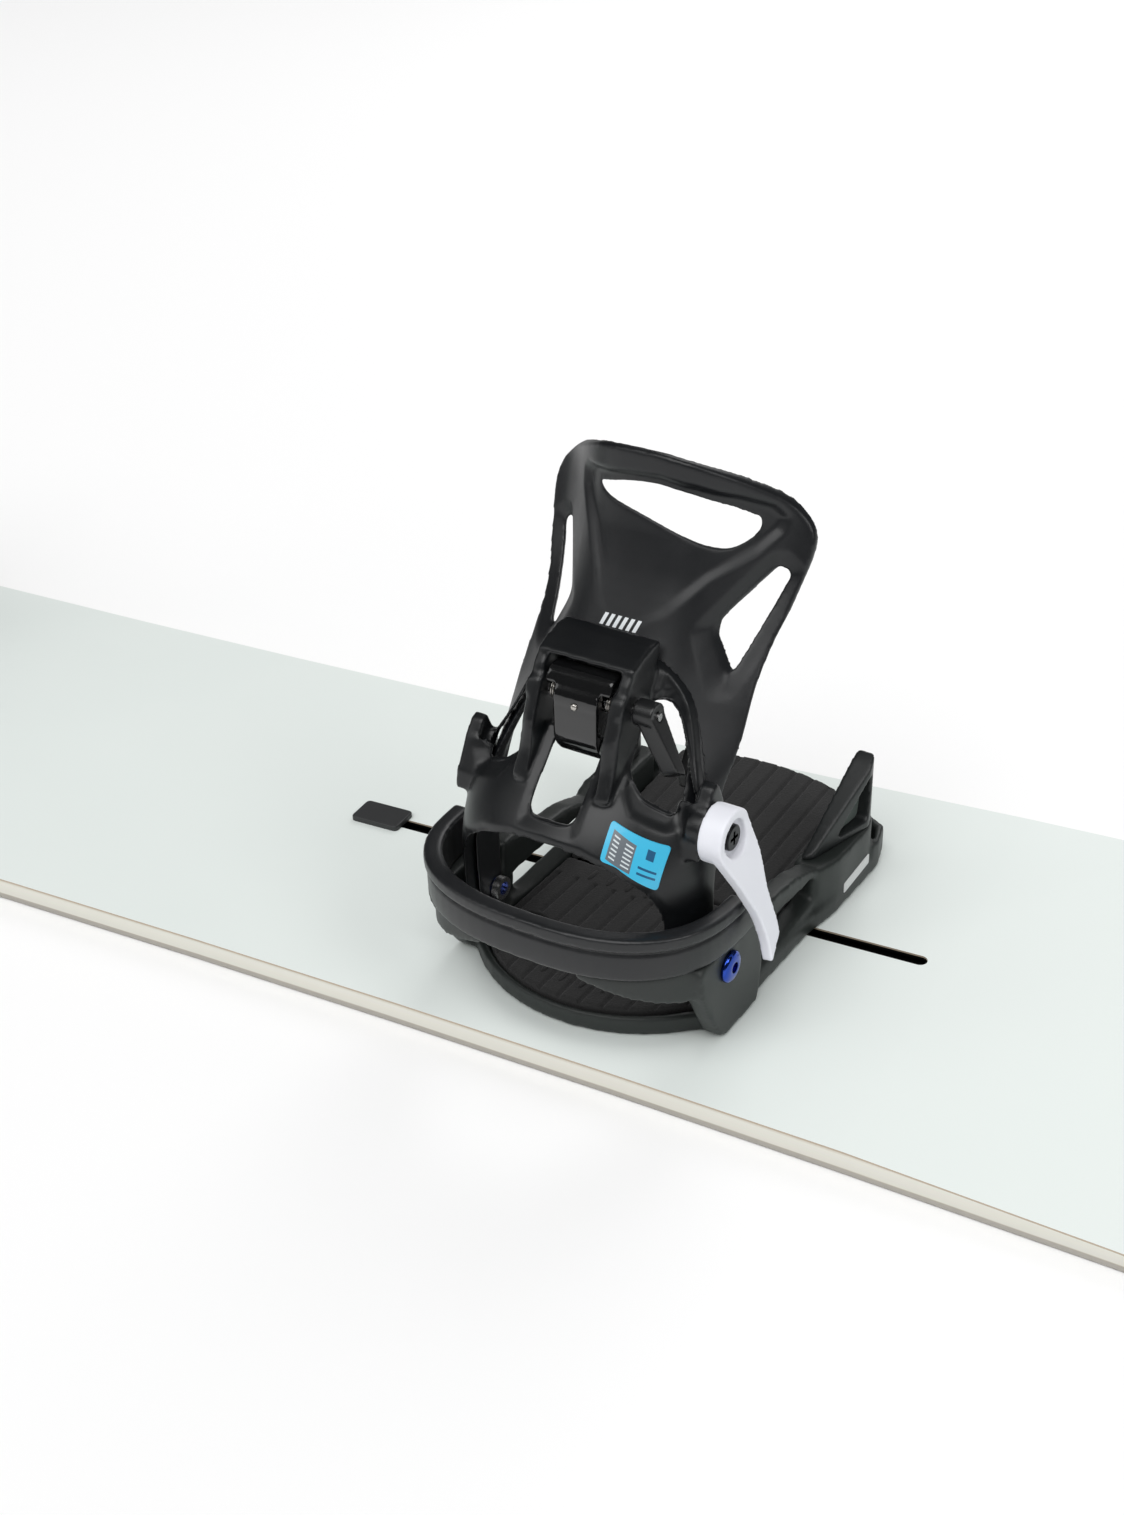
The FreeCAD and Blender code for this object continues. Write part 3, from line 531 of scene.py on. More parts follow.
foamLook = {"dark": (0.0095, 0.0095, 0.0098), "pale": (0.021, 0.0205, 0.0205), "cells": 1500.0}
sheetLook = {"dark": (0.735, 0.79, 0.765), "pale": (0.775, 0.82, 0.795), "bareEdge": (0.46, 0.38, 0.29)}


def foamFinish():
    # closed-cell foam: small pits, a soft sheen and cloudy tone
    material, nodes, links, shader = startFinish("footFoam", Sheen_Weight=0.12, Sheen_Roughness=0.5,
                                                 Roughness=0.82)
    place = placeCoords(nodes, "seated")
    cells = nodes.new("ShaderNodeTexVoronoi")
    cells.inputs["Scale"].default_value = foamLook["cells"]
    links.new(place, cells.inputs["Vector"])
    height, cloud = addGrain(nodes, links, place, 700.0, 60.0, 41.0)
    color = blendColors(nodes, links, cloud, foamLook["dark"], foamLook["pale"])
    links.new(color, shader.inputs["Base Color"])
    pits = scaled(nodes, links, cells.outputs["Distance"], 1.0, height)
    addRelief(nodes, links, shader, pits, 0.55, 0.0003)
    return material


def topsheetFinish():
    # pale matt sheet, and the tan line of its bare edge
    material, nodes, links, shader = startFinish("paleTopsheet", Coat_Weight=0.06, Coat_Roughness=0.3)
    height, cloud = addGrain(nodes, links, placeCoords(nodes, None), 1200.0, 7.0, 2.0)
    sheet = blendColors(nodes, links, cloud, sheetLook["dark"], sheetLook["pale"])
    split = nodes.new("ShaderNodeSeparateXYZ")
    links.new(nodes.new("ShaderNodeNewGeometry").outputs["Normal"], split.inputs["Vector"])
    onTop = remap(nodes, links, split.outputs["Z"], (0.0, 1.0), (0.3, 0.5))
    color = blendColors(nodes, links, onTop, sheetLook["bareEdge"], sheet)
    links.new(color, shader.inputs["Base Color"])
    links.new(remap(nodes, links, cloud, (0.46, 0.6)), shader.inputs["Roughness"])
    addRelief(nodes, links, shader, height, 0.08)
    return material


boardThick = 0.0104  # metres


def layeredFinish(name, bands, streak, rough):
    # laminated edge: colours change with the height, streaked along the board
    material, nodes, links, shader = startFinish(name, Roughness=rough)
    place = placeCoords(nodes, None)
    split = nodes.new("ShaderNodeSeparateXYZ")
    links.new(place, split.inputs["Vector"])
    stretch = nodes.new("ShaderNodeMapping")
    stretch.inputs["Scale"].default_value = (4.0, 400.0, 900.0)
    links.new(place, stretch.inputs["Vector"])
    noise = nodes.new("ShaderNodeTexNoise")
    noise.inputs["Scale"].default_value = 1.0
    noise.inputs["Detail"].default_value = 4.0
    links.new(stretch.outputs["Vector"], noise.inputs["Vector"])
    level = scaled(nodes, links, noise.outputs["Fac"], 0.0006, split.outputs["Z"])
    height = remap(nodes, links, level, (0.0, 1.0), (0.0, boardThick))
    ramp = nodes.new("ShaderNodeValToRGB")
    ramp.color_ramp.interpolation = "LINEAR"
    points = ramp.color_ramp.elements
    points[0].position, points[0].color = bands[0][0], (*bands[0][1], 1)
    points[1].position, points[1].color = bands[-1][0], (*bands[-1][1], 1)
    for spot, color in bands[1:-1]:
        points.new(spot).color = (*color, 1)
    links.new(height, ramp.inputs["Fac"])
    tint = nodes.new("ShaderNodeMix")
    tint.data_type = "RGBA"
    tint.blend_type = "MULTIPLY"
    tint.inputs["Factor"].default_value = streak
    links.new(ramp.outputs["Color"], tint.inputs["A"])
    links.new(noise.outputs["Color"], tint.inputs["B"])
    links.new(tint.outputs["Result"], shader.inputs["Base Color"])
    addRelief(nodes, links, shader, noise.outputs["Fac"], 0.1)
    return material


# the label's own x and y run from 0 to 1 across it, and its rows climb with the carrier's side
label = {
    "across": 46.7,
    "acrossStart": -1.16,
    "up": 70.4,
    "upStart": -6.27,
    "climb": 0.88,
    "dark": (0.035, 0.42, 0.66),
    "pale": (0.05, 0.5, 0.76),
    "tableInk": (0.13, 0.15, 0.17),
    "rowInk": (0.6, 0.66, 0.68),
    "markInk": (0.01, 0.09, 0.2),
}


def labelFinish():
    # blue sticker with a grey table and a few plain bars
    material, nodes, links, shader = startFinish("sizeLabel", Coat_Weight=0.4, Coat_Roughness=0.15,
                                                 Roughness=0.35)
    split = nodes.new("ShaderNodeSeparateXYZ")
    place = placeCoords(nodes, "seated")
    links.new(place, split.inputs["Vector"])
    x = scaled(nodes, links, split.outputs["X"], label["across"], label["acrossStart"])
    rise = scaled(nodes, links, x, label["climb"], label["upStart"])
    y = scaled(nodes, links, split.outputs["Z"], label["up"], rise)
    height, cloud = addGrain(nodes, links, place, 1500.0, 120.0)
    color = blendColors(nodes, links, cloud, label["dark"], label["pale"])
    prints = [
        ("tableInk", {"Left": 0.09, "Right": 0.52, "Low": 0.12, "High": 0.8}),
        ("rowInk", {"Left": 0.13, "Right": 0.24, "Low": 0.2, "High": 0.78, "Rows": 6.0, "Fill": 0.38}),
        ("rowInk", {"Left": 0.35, "Right": 0.49, "Low": 0.2, "High": 0.78, "Rows": 6.0, "Fill": 0.38}),
        ("markInk", {"Left": 0.7, "Right": 0.82, "Low": 0.62, "High": 0.86}),
        ("markInk", {"Left": 0.62, "Right": 0.9, "Low": 0.2, "High": 0.5, "Rows": 2.0, "Fill": 0.4}),
    ]
    for ink, sizes in prints:
        color = addBars(nodes, links, x, y, color, label[ink], **sizes)
    links.new(color, shader.inputs["Base Color"])
    addRelief(nodes, links, shader, height, 0.08)
    return material


footFoam = foamFinish()
sizeLabel = labelFinish()
paleTopsheet = topsheetFinish()
creamSide = layeredFinish("creamSide", [(0.0, (0.3, 0.27, 0.23)), (0.24, (0.42, 0.38, 0.32)),
                                        (0.3, (0.7, 0.69, 0.62)), (0.84, (0.76, 0.75, 0.68)),
                                        (1.0, (0.55, 0.5, 0.4))], 0.06, 0.5)
woodCore = layeredFinish("woodCore", [(0.0, (0.42, 0.3, 0.18)), (1.0, (0.55, 0.42, 0.27))], 0.4, 0.6)
print("finishes made")


# the board keeps its CAD solids, with finishes of their own
def dressNode(node, material):
    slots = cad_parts[node].material_slots
    for k in range(len(slots)):
        slots[k].material = material


dressNode("base", finishes["baseBlack"])
dressNode("steel_edges", finishes["edgeSteel"])
dressNode("sidewalls", creamSide)
dressNode("core", woodCore)
dressNode("topsheet", paleTopsheet)
dressNode("channel_rails", finishes["railDark"])
dressNode("channel_plugs", finishes["plugBlack"])
for side in ("right", "left"):
    dressNode("latch_pin_" + side, finishes["pinSteel"])
    dressNode("lean_pin_" + side, finishes["pinSteel"])
    dressNode("hinge_nuts_" + side, finishes["pinSteel"])
    dressNode("channel_nuts_" + side, finishes["pinSteel"])
    dressNode("mounting_bolts_" + side, finishes["screwBlack"])
    dressNode("mounting_washers_" + side, finishes["pinSteel"])
    dressNode("toe_catches_" + side, finishes["catchGreen"])
    dressNode("toe_hook_screws_" + side, finishes["screwBlack"])
    dressNode("release_lever_screw_" + side, finishes["screwBlack"])
    dressNode("side_strips_" + side, finishes["stripPale"])
print("board dressed")


# highback blade: outlines are (u, z) seen from behind, in mm
blade = {
    "voxel": 0.8,
    "ease": 10,
    "relax": 10,
    "panel": [(-35.5, 199), (-36, 206), (-32, 210.5), (-24, 212.5), (-8, 215), (6, 216), (22, 213.5),
              (36, 208.5), (46, 203), (50.5, 197), (49, 191), (43, 184), (30, 176), (17, 163), (6, 157),
              (-8, 157), (-14, 163), (-19, 174), (-27, 188)],
    "panelDepth": 3.0,
    "panelEdge": 3.4,
    "panelFadeZ": (150, 195),
    "sideWindow": [(42.5, 139), (53, 175), (48.5, 178.5), (33, 158.5)],
    "sideDepth": 2.2,
    "sideEdge": 6.0,
    "shapedZ": (128, 142),
    "wall": 4.6,
    "halfWidth": 58.0,
    "wrapDepth": 33.0,
    "wrapPower": 1.6,
    "rearV": [(98, -101), (109, -90.5), (120, -79), (131, -69), (142, -60), (151, -53.5), (160, -48),
              (168, -43.5), (177, -40), (190, -35.5), (207, -32), (228, -31)],
}


def readRows(rows, z):
    return np.interp(z, [r[0] for r in rows], [r[1] for r in rows])


def riseBetween(value, span):
    return smoothRise((value - span[0]) / (span[1] - span[0]))


def wallDepth(points):
    # depth under the outside of the shell, 0 at the face and 1 at the boot side, and the way inwards
    u, v, z = points.T
    power = blade["wrapPower"]
    reach = np.clip(np.abs(u) / blade["halfWidth"], 1e-4, 1.0)
    turn = math.pi / 2 * reach ** power
    turnRate = math.pi / 2 * power * reach ** (power - 1) / blade["halfWidth"]
    slope = blade["wrapDepth"] * np.sin(2 * turn) * turnRate * np.sign(u)
    face = readRows(blade["rearV"], z) + blade["wrapDepth"] * np.sin(turn) ** 2
    length = np.hypot(1.0, slope)
    inward = np.stack([-slope / length, 1.0 / length, np.zeros(len(u))], axis=1)
    return np.clip((v - face) / length / blade["wall"], 0.0, 1.0), inward


def shapeBlade(points, normals):
    depth, inward = wallDepth(points)
    u, z = points[:, 0], points[:, 2]
    inPanel = outlineDistance(blade["panel"], u, z)
    fade = riseBetween(z, blade["panelFadeZ"])
    drop = blade["panelDepth"] * fade * smoothRise(inPanel / blade["panelEdge"])
    for window in (blade["sideWindow"], mirrored(blade["sideWindow"])):
        gap = -outlineDistance(window, u, z)
        drop = drop + blade["sideDepth"] * np.clip(1 - gap / blade["sideEdge"], 0, 1)
    strength = riseBetween(z, blade["shapedZ"]) * (1 - depth)
    return points + inward * (drop * strength)[:, None]


bladeMesh = moulded("highback", blade["voxel"], blade["ease"], shapeBlade, relax=blade["relax"])
mount("highback", bladeMesh, finishes["bladeBlack"], "highback", ["highback"])
print("highback made")


# heel carrier: wedge, roof and cheek are side outlines of (v, z), the rest are (u, z) from behind
carrier = {
    "voxel": 0.8,
    "ease": 8,
    "relax": 6,
    "wedge": [(-80, 86), (-80, 105), (-75, 113), (-71, 114), (-66, 104), (-66, 86)],
    "wedgeRear": [(-88, 86), (-86.5, 94), (-79, 107.5), (-79, 86)],
    "roof": [(-77, 153.4), (-77, 155), (-70, 157.5), (-62, 159.5), (-55.5, 159.5), (-56.5, 153.4)],
    "cheek": [(-86, 138), (-80, 150), (-76, 154.5), (-62, 159), (-56, 158), (-63, 138)],
    "outerU": 56.4,
    "wedgeInnerU": 49.9,
    "wedgeRearInnerU": 43.6,
    "roofHalf": 21.8,
    "cheekInnerU": 16.6,
    "hollow": [(24, 149), (34, 140), (46, 117), (51, 103), (49, 97), (43, 96), (30, 102), (24, 110)],
    "hollowDepth": 1.7,
    "hollowEdge": 2.6,
    "lobe": [(22, 137), (29, 137.5), (35, 131), (43, 114), (48.5, 104), (44.5, 100), (31, 107),
             (23.5, 114), (22, 123)],
    "lobeDepth": 1.6,
    "lobeEdge": 3.5,
    "heelWindow": [(-46, 16), (46, 16), (47, 64), (42, 75), (30, 84), (16, 89), (0, 90.5), (-16, 89),
                   (-30, 84), (-42, 75), (-47, 64)],
    "windowDepth": 1.5,
    "windowEdge": 3.0,
    "slot": [(-10.8, 97), (10.8, 97), (10.8, 151), (-10.8, 151)],
    "slotDepth": 1.8,
    "slotEdge": 3.5,
    "slotEndZ": 128,
    "middleV": [(20, -60), (120, -30), (160, 5)],
    "rearFacing": (0.05, 0.55),
}


def outwardFrom(points, normals, rows):
    # how squarely a point's normal looks away from the boot, and the way outwards
    middle = readRows(rows, points[:, 2])
    away = np.stack([points[:, 0], points[:, 1] - middle, np.zeros(len(points))], axis=1)
    away /= np.maximum(np.linalg.norm(away, axis=1, keepdims=True), 1e-6)
    return np.clip((normals * away).sum(axis=1), -1, 1), away


def shapeCarrier(points, normals):
    facing, away = outwardFrom(points, normals, carrier["middleV"])
    rear = riseBetween(facing, carrier["rearFacing"])
    u, z = points[:, 0], points[:, 2]

    def rimDrop(hole, depth, edge):
        return depth * np.clip(1 + outlineDistance(hole, u, z) / edge, 0, 1)

    drop = np.zeros(len(points))
    for lobe in (carrier["lobe"], mirrored(carrier["lobe"])):
        drop = drop + rimDrop(lobe, carrier["lobeDepth"], carrier["lobeEdge"])
    for hollow in (carrier["hollow"], mirrored(carrier["hollow"])):
        inside = outlineDistance(hollow, u, z)
        drop = drop + carrier["hollowDepth"] * smoothRise(inside / carrier["hollowEdge"])
    drop = drop + rimDrop(carrier["heelWindow"], carrier["windowDepth"], carrier["windowEdge"])
    slotDrop = rimDrop(carrier["slot"], carrier["slotDepth"], carrier["slotEdge"])
    drop = drop + slotDrop * (z < carrier["slotEndZ"])
    return points - away * (rear * drop)[:, None]


def bothSides(outline, inner, outer):
    return [(outline, inner, outer), (outline, -outer, -inner)]


carrierBlocks = bothSides(carrier["wedge"], carrier["wedgeInnerU"], carrier["outerU"])
carrierBlocks += [(carrier["roof"], -carrier["roofHalf"], carrier["roofHalf"])]
carrierBlocks += bothSides(carrier["wedgeRear"], carrier["wedgeRearInnerU"], carrier["outerU"])
carrierBlocks += bothSides(carrier["cheek"], carrier["cheekInnerU"], carrier["roofHalf"])
carrierMesh = moulded("heel_carrier", carrier["voxel"], carrier["ease"], shapeCarrier,
                      relax=carrier["relax"], blocks=carrierBlocks)
mount("carrier", carrierMesh, finishes["carrierBlack"], "carrier", ["heel_carrier"])
print("carrier made")


# heel hoop, with its lip above a shallow groove
hoop = {"voxel": 0.9, "ease": 8, "relax": 1, "low": 45.0, "groove": 58.2, "grooveDepth": 1.2,
        "grooveWidth": 0.9, "belly": 0.48, "bellyPower": 0.8, "centreV": -72.0, "outerFacing": (0.1, 0.5)}


def shapeHoop(points, normals):
    z = points[:, 2]
    away = np.stack([points[:, 0], np.minimum(points[:, 1] - hoop["centreV"], 0), np.zeros(len(z))], axis=1)
    away /= np.maximum(np.linalg.norm(away, axis=1, keepdims=True), 1e-6)
    outer = riseBetween((normals * away).sum(axis=1), hoop["outerFacing"])
    rise = np.clip((z - hoop["low"]) / (hoop["groove"] - hoop["low"]), 0, 1)
    belly = hoop["belly"] * np.sin(rise * math.pi) ** hoop["bellyPower"]
    groove = hoop["grooveDepth"] * np.exp(-((z - hoop["groove"]) / hoop["grooveWidth"]) ** 2)
    return points + away * (outer * (belly - groove))[:, None]


hoopMesh = moulded("heel_hoop", hoop["voxel"], hoop["ease"], shapeHoop, relax=hoop["relax"])
mount("heelHoop", hoopMesh, finishes["hoopBlack"], "binding", ["heel_hoop"])

# plain mouldings: piece, node, voxel in mm, easing passes, finish, body and slot
smallMouldings = [
    ("baseplate", "baseplate", 1.15, 10, finishes["plateCharcoal"], "binding", "baseplate"),
    ("hookLateral", "toe_hook_lateral", 0.7, 6, finishes["hookBlack"], "binding", "hook"),
    ("hookMedial", "toe_hook_medial", 0.7, 6, finishes["hookBlack"], "binding", "hook"),
    ("releaseLever", "release_lever", 0.55, 10, finishes["leverWhite"], "release_lever", "lever_white"),
    ("heelLatch", "heel_latch", 0.5, 10, finishes["latchGloss"], "heel_latch", "latch"),
    ("leanLever", "lean_lever", 0.4, 6, finishes["leanBlack"], "lean_lever", "latch"),
    ("leanBlock", "lean_block", 0.4, 5, finishes["leanBlack"], "lean_block", "latch"),
]
for pieceName, nodeName, voxelSize, easePasses, pieceFinish, bodyName, slotName in smallMouldings:
    mount(pieceName, moulded(nodeName, voxelSize, easePasses), pieceFinish, bodyName, [nodeName])
print("plastic parts made")


# footbeds: grooves run toe to heel, with two round hollows at the heel
foam = {
    "voxel": 0.8,
    "ribStep": 9.6,
    "ribWidth": 1.1,
    "ribDepth": 1.6,
    "plainV": (-24, -2),
    "dimpleU": 38.0,
    "dimpleV": -68.0,
    "dimpleR": 12.0,
    "dimpleDepth": 2.2,
    "dimpleEdge": 1.6,
    "dimpleClear": 1.5,
    "upFacing": (0.3, 0.7),
    "ease": 5,
    "fill": 0.9,
}


def shapeFoam(points, normals):
    u, v = points[:, 0], points[:, 1]
    up = riseBetween(normals[:, 2], foam["upFacing"])
    row = np.abs((u / foam["ribStep"] + 0.5) % 1.0 - 0.5) * foam["ribStep"]
    groove = foam["ribDepth"] * np.clip(1 - row / foam["ribWidth"], 0, 1)
    groove = groove * ((v > foam["plainV"][1]) | (v < foam["plainV"][0]))
    for hand in (1, -1):
        ring = np.hypot(u - hand * foam["dimpleU"], v - foam["dimpleV"])
        hollow = foam["dimpleDepth"] * smoothRise((foam["dimpleR"] - ring) / foam["dimpleEdge"])
        groove = np.where(ring < foam["dimpleR"] + foam["dimpleClear"], hollow, groove)
    moved = points.copy()
    moved[:, 2] -= up * groove
    return moved


for pieceName, nodeName in (("footbedFront", "footbed_front"), ("footbedHeel", "footbed_heel")):
    foamMesh = moulded(nodeName, foam["voxel"], foam["ease"], shapeFoam)
    mount(pieceName, foamMesh, footFoam, "binding", [nodeName])
print("footbeds made")


# trees for what repeats: spring coils and footbed ribs


def newTree(name, sizes):
    tree = bpy.data.node_groups.new(name, "GeometryNodeTree")
    tree.interface.new_socket(name="Geometry", in_out="INPUT", socket_type="NodeSocketGeometry")
    for label, value in sizes.items():
        socket = tree.interface.new_socket(name=label, in_out="INPUT", socket_type="NodeSocketFloat")
        socket.default_value = value
    tree.interface.new_socket(name="Finish", in_out="INPUT", socket_type="NodeSocketMaterial")
    tree.interface.new_socket(name="Geometry", in_out="OUTPUT", socket_type="NodeSocketGeometry")
    return tree, tree.nodes.new("NodeGroupInput"), tree.nodes.new("NodeGroupOutput")


def endTree(tree, start, end, geometry):
    real = tree.nodes.new("GeometryNodeRealizeInstances")
    smooth = tree.nodes.new("GeometryNodeSetShadeSmooth")
    paint = tree.nodes.new("GeometryNodeSetMaterial")
    tree.links.new(geometry, real.inputs["Geometry"])
    tree.links.new(real.outputs["Geometry"], smooth.inputs["Geometry"])
    tree.links.new(smooth.outputs["Geometry"], paint.inputs["Geometry"])
    tree.links.new(start.outputs["Finish"], paint.inputs["Material"])
    tree.links.new(paint.outputs["Geometry"], end.inputs["Geometry"])


def grow(name, tree, material, sizes, points=()):
    # runs a tree over loose points given in mm, and returns the plain mesh in its place on the board
    seedMesh = bpy.data.meshes.new(name)
    seedMesh.from_pydata([tuple(p) for p in points], [], [])
    piece = linkObject(name, seedMesh)
    modifier = piece.modifiers.new("grow", "NODES")
    modifier.node_group = tree
    values = dict(sizes, Finish=material)
    for item in tree.interface.items_tree:
        if item.item_type == "SOCKET" and item.in_out == "INPUT" and item.name in values:
            modifier[item.identifier] = values[item.name]
    made = plainMesh(piece)
    piece.modifiers.clear()
    bpy.data.objects.remove(piece)
    made.transform(seat)
    return made


def joinMeshes(name, meshes):
    kit = bmesh.new()
    for mesh in meshes:
        kit.from_mesh(mesh)
    joined = bpy.data.meshes.new(name)
    kit.to_mesh(joined)
    kit.free()
    shadeSmooth(joined, 40)
    return joined


def coilTree():
    tree, start, end = newTree("torsionSpring", {"Radius": 3.5, "Wire": 0.5, "Turns": 4.0, "Length": 3.8})
    nodes, links = tree.nodes, tree.links
    coil = nodes.new("GeometryNodeCurveSpiral")
    coil.inputs["Resolution"].default_value = 24
    links.new(start.outputs["Turns"], coil.inputs["Rotations"])
    links.new(start.outputs["Radius"], coil.inputs["Start Radius"])
    links.new(start.outputs["Radius"], coil.inputs["End Radius"])
    links.new(start.outputs["Length"], coil.inputs["Height"])
    ring = nodes.new("GeometryNodeCurvePrimitiveCircle")
    ring.inputs["Resolution"].default_value = 10
    links.new(start.outputs["Wire"], ring.inputs["Radius"])
    tube = nodes.new("GeometryNodeCurveToMesh")
    tube.inputs["Fill Caps"].default_value = True
    links.new(coil.outputs["Curve"], tube.inputs["Curve"])
    links.new(ring.outputs["Curve"], tube.inputs["Profile Curve"])
    turn = nodes.new("GeometryNodeTransform")
    turn.inputs["Rotation"].default_value = (0.0, math.pi / 2, 0.0)
    links.new(tube.outputs["Mesh"], turn.inputs["Geometry"])
    copies = nodes.new("GeometryNodeInstanceOnPoints")
    links.new(start.outputs["Geometry"], copies.inputs["Points"])
    links.new(turn.outputs["Geometry"], copies.inputs["Instance"])
    endTree(tree, start, end, copies.outputs["Instances"])
    return tree


spring = {"Radius": 3.35, "Wire": 0.46, "Turns": 4.0, "Length": 3.7}
springStarts = [(10.8, -76.0, 138.5), (-14.5, -76.0, 138.5)]
springMesh = grow("springs", coilTree(), finishes["springSteel"], spring, springStarts)
shadeSmooth(springMesh)
mount("latchSprings", springMesh, finishes["springSteel"], "carrier", ["latch_springs"])


def ribTree():
    tree, start, end = newTree("footRibs", {"Length": 8.0, "Width": 2.4, "Height": 1.4})
    nodes, links = tree.nodes, tree.links
    ball = nodes.new("GeometryNodeMeshUVSphere")
    ball.inputs["Segments"].default_value = 16
    ball.inputs["Rings"].default_value = 10
    ball.inputs["Radius"].default_value = 0.5
    size = nodes.new("ShaderNodeCombineXYZ")
    links.new(start.outputs["Width"], size.inputs["X"])
    links.new(start.outputs["Length"], size.inputs["Y"])
    links.new(start.outputs["Height"], size.inputs["Z"])
    copies = nodes.new("GeometryNodeInstanceOnPoints")
    links.new(start.outputs["Geometry"], copies.inputs["Points"])
    links.new(ball.outputs["Mesh"], copies.inputs["Instance"])
    links.new(size.outputs["Vector"], copies.inputs["Scale"])
    endTree(tree, start, end, copies.outputs["Instances"])
    return tree


ribs = {"Length": 8.5, "Width": 2.6, "Height": 1.5, "rearV": -89.0, "edgeV": -66.0, "edgeU": 50.0,
        "middleV": -19.0, "top": 11.0, "reachU": 46.0}
ribPoints = []
for k in range(-4, 5):
    across = (k + 0.5) * foam["ribStep"]
    if abs(across) < ribs["reachU"]:
        back = ribs["rearV"] + (ribs["edgeV"] - ribs["rearV"]) * (abs(across) / ribs["edgeU"]) ** 2
        ribPoints.append((across, back, ribs["top"]))
        ribPoints.append((across, ribs["middleV"], ribs["top"]))
ribSizes = {label: ribs[label] for label in ("Length", "Width", "Height")}
ribMesh = grow("ribs", ribTree(), footFoam, ribSizes, ribPoints)
mount("footRibs", ribMesh, footFoam, "binding", [])
print("springs and ribs made")


# size label, rivet and hinge bolts


def lathe(profile, side=24):
    # turned part about the sideways axis from (u, radius) points in mm
    kit = bmesh.new()
    rings = []
    for u, radius in profile:
        rings.append([kit.verts.new((u, radius * math.cos(2 * math.pi * k / side),
                                     radius * math.sin(2 * math.pi * k / side))) for k in range(side)])
    for a, b in zip(rings, rings[1:]):
        for k in range(side):
            n = (k + 1) % side
            kit.faces.new((a[k], a[n], b[n], b[k]))
    kit.faces.new(list(reversed(rings[0])))
    kit.faces.new(rings[-1])
    bmesh.ops.recalc_face_normals(kit, faces=kit.faces)
    mesh = bpy.data.meshes.new("turned")
    kit.to_mesh(mesh)
    kit.free()
    return mesh


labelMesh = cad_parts["size_label_right"].data.copy()
mount("sizeLabel", labelMesh, sizeLabel, "carrier", ["size_label"])

bolt = {"headIn": 65.5, "head": 3.0, "radius": 6.9, "socket": 2.3, "shankEnd": 43.0, "shankR": 3.0}
headRows = [(0.0, bolt["radius"] - 0.3), (0.4, bolt["radius"]), (1.3, bolt["radius"]),
            (2.1, bolt["radius"] - 0.5), (2.6, bolt["radius"] - 1.5), (2.9, bolt["radius"] - 3.0),
            (bolt["head"], bolt["socket"] + 0.6), (2.9, bolt["socket"] + 0.1), (1.2, bolt["socket"]),
            (1.1, 0.3)]
boltProfile = [(bolt["shankEnd"], bolt["shankR"]), (bolt["headIn"], bolt["shankR"])]
boltProfile += [(bolt["headIn"] + out, radius) for out, radius in headRows]
boltRight = lathe(boltProfile, 32)
boltRight.transform(Matrix.Translation((0, seating["hingeV"], seating["hingeZ"])))
boltLeft = boltRight.copy()
boltLeft.transform(Matrix.Scale(-1, 4, (1, 0, 0)))
boltLeft.flip_normals()
boltMesh = joinMeshes("bolts", [boltRight, boltLeft])
boltMesh.transform(seat)
mount("hingeBolts", boltMesh, finishes["boltBlue"], "binding", ["hinge_bolts"])

rivet = {"profile": [(-0.6, 1.6), (0.5, 1.55), (0.9, 1.2), (1.1, 0.7), (1.2, 0.15)],
         "place": (0.0, -85.0, 138.0)}
rivetMesh = lathe(rivet["profile"], 20)
rivetMesh.transform(Matrix.Translation(rivet["place"]) @ Matrix.Rotation(-math.pi / 2, 4, "Z"))
rivetMesh.transform(seat)
shadeSmooth(rivetMesh, 50)
mount("latchRivet", rivetMesh, finishes["springSteel"], "heel_latch", [])
print("label, bolts and rivet made")


# floor, lights and camera
studio = {
    "floor": 14.0,
    "floorZ": -0.0005,
    "floorColor": (0.93, 0.93, 0.93),
    "aim": (0.25, 0.0, 0.1),
    "worldLight": 0.42,
    "worldGloss": 0.06,
    "sunPower": 1.62,
    "sunAngle": math.radians(50),
    "sunTurn": (math.radians(28), math.radians(-14), math.radians(20)),
    "key": {"place": (1.9, -0.6, 1.5), "size": 0.9, "power": 9.0},
    "fill": {"place": (-1.6, -1.4, 1.3), "size": 1.2, "power": 5.0},
    "back": {"place": (0.2, 2.2, 1.7), "size": 1.6, "power": 14.0},
}


def softLight(name, spec):
    lamp = bpy.data.lights.new(name, "AREA")
    lamp.shape = "DISK"
    lamp.size = spec["size"]
    lamp.energy = spec["power"]
    lampObject = bpy.data.objects.new(name, lamp)
    bpy.context.scene.collection.objects.link(lampObject)
    lampObject.location = spec["place"]
    aim = Vector(studio["aim"]) - Vector(spec["place"])
    lampObject.rotation_euler = aim.to_track_quat("-Z", "Y").to_euler()


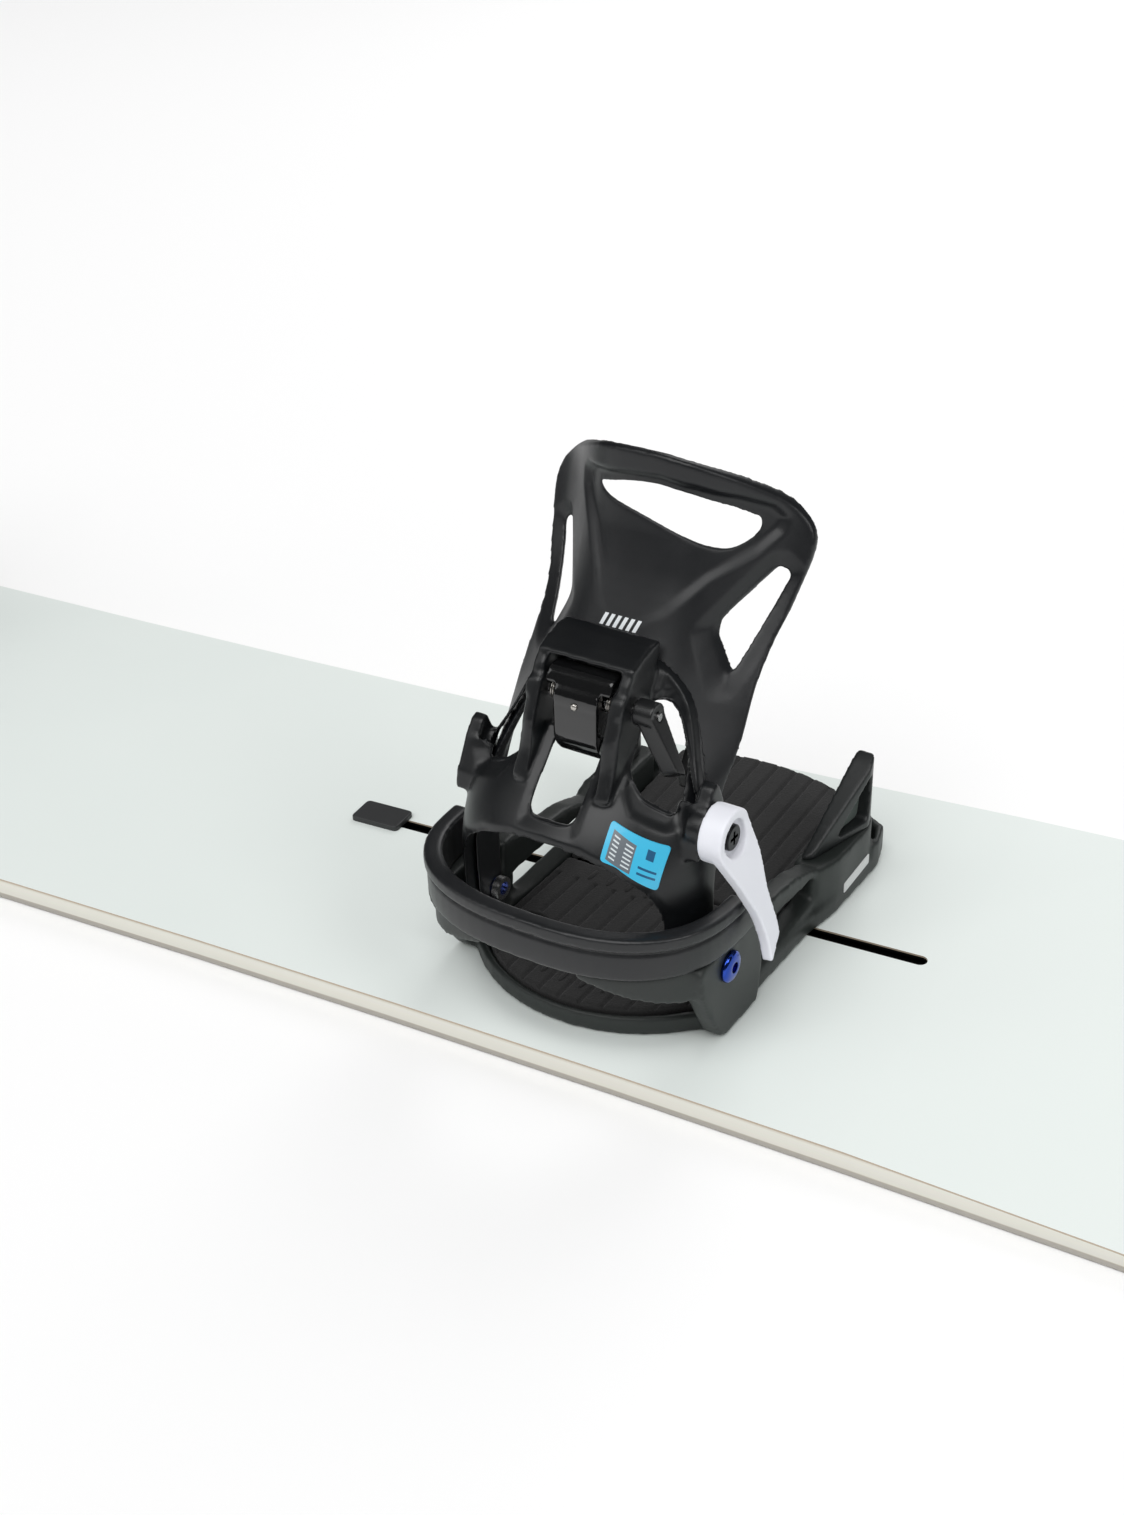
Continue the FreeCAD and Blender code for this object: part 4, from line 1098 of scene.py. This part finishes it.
def makeFloor():
    half, z = studio["floor"] / 2, studio["floorZ"]
    mesh = bpy.data.meshes.new("floor")
    corners = [(-half, -half, z), (half, -half, z), (half, half, z), (-half, half, z)]
    mesh.from_pydata(corners, [], [(0, 1, 2, 3)])
    floor = linkObject("floor", mesh)
    material, nodes, links, shader = startFinish("paleFloor", Roughness=0.9)
    shader.inputs["Base Color"].default_value = (*studio["floorColor"], 1)
    mesh.materials.append(material)


for lampName in ("key", "fill", "back"):
    softLight(lampName, studio[lampName])
sun = bpy.data.lights.new("overhead", "SUN")
sun.energy = studio["sunPower"]
sun.angle = studio["sunAngle"]
sunObject = bpy.data.objects.new("overhead", sun)
bpy.context.scene.collection.objects.link(sunObject)
sunObject.rotation_euler = studio["sunTurn"]
makeFloor()

world = bpy.data.worlds.new("studioWorld")
bpy.context.scene.world = world
world.use_nodes = True
sky = world.node_tree.nodes["Background"]
sky.inputs["Color"].default_value = (1, 1, 1, 1)
seen = world.node_tree.nodes.new("ShaderNodeLightPath")
mirror = world.node_tree.nodes.new("ShaderNodeMapRange")
mirror.inputs["To Min"].default_value = studio["worldLight"]
mirror.inputs["To Max"].default_value = studio["worldGloss"]
world.node_tree.links.new(seen.outputs["Is Glossy Ray"], mirror.inputs["Value"])
level = world.node_tree.nodes.new("ShaderNodeMapRange")
level.inputs["To Max"].default_value = 1.0
world.node_tree.links.new(mirror.outputs["Result"], level.inputs["To Min"])
world.node_tree.links.new(seen.outputs["Is Camera Ray"], level.inputs["Value"])
world.node_tree.links.new(level.outputs["Result"], sky.inputs["Strength"])
bpy.context.scene.view_settings.view_transform = "Standard"

lens = {
    "place": (0.60022651, -0.72401059, 0.55145547),
    "turn": (59.36876165, 1.07309215, 26.92880223),
    "focal": 50.93326906,
}
camera = bpy.data.cameras.new("camera")
camera.sensor_width = 36.0
camera.lens = lens["focal"]
camera.clip_start = 0.01
camera.clip_end = 50.0
cameraObject = bpy.data.objects.new("camera", camera)
bpy.context.scene.collection.objects.link(cameraObject)
cameraObject.location = lens["place"]
cameraObject.rotation_euler = [math.radians(angle) for angle in lens["turn"]]
bpy.context.scene.camera = cameraObject
print("stage set, pieces:", pieceCount)
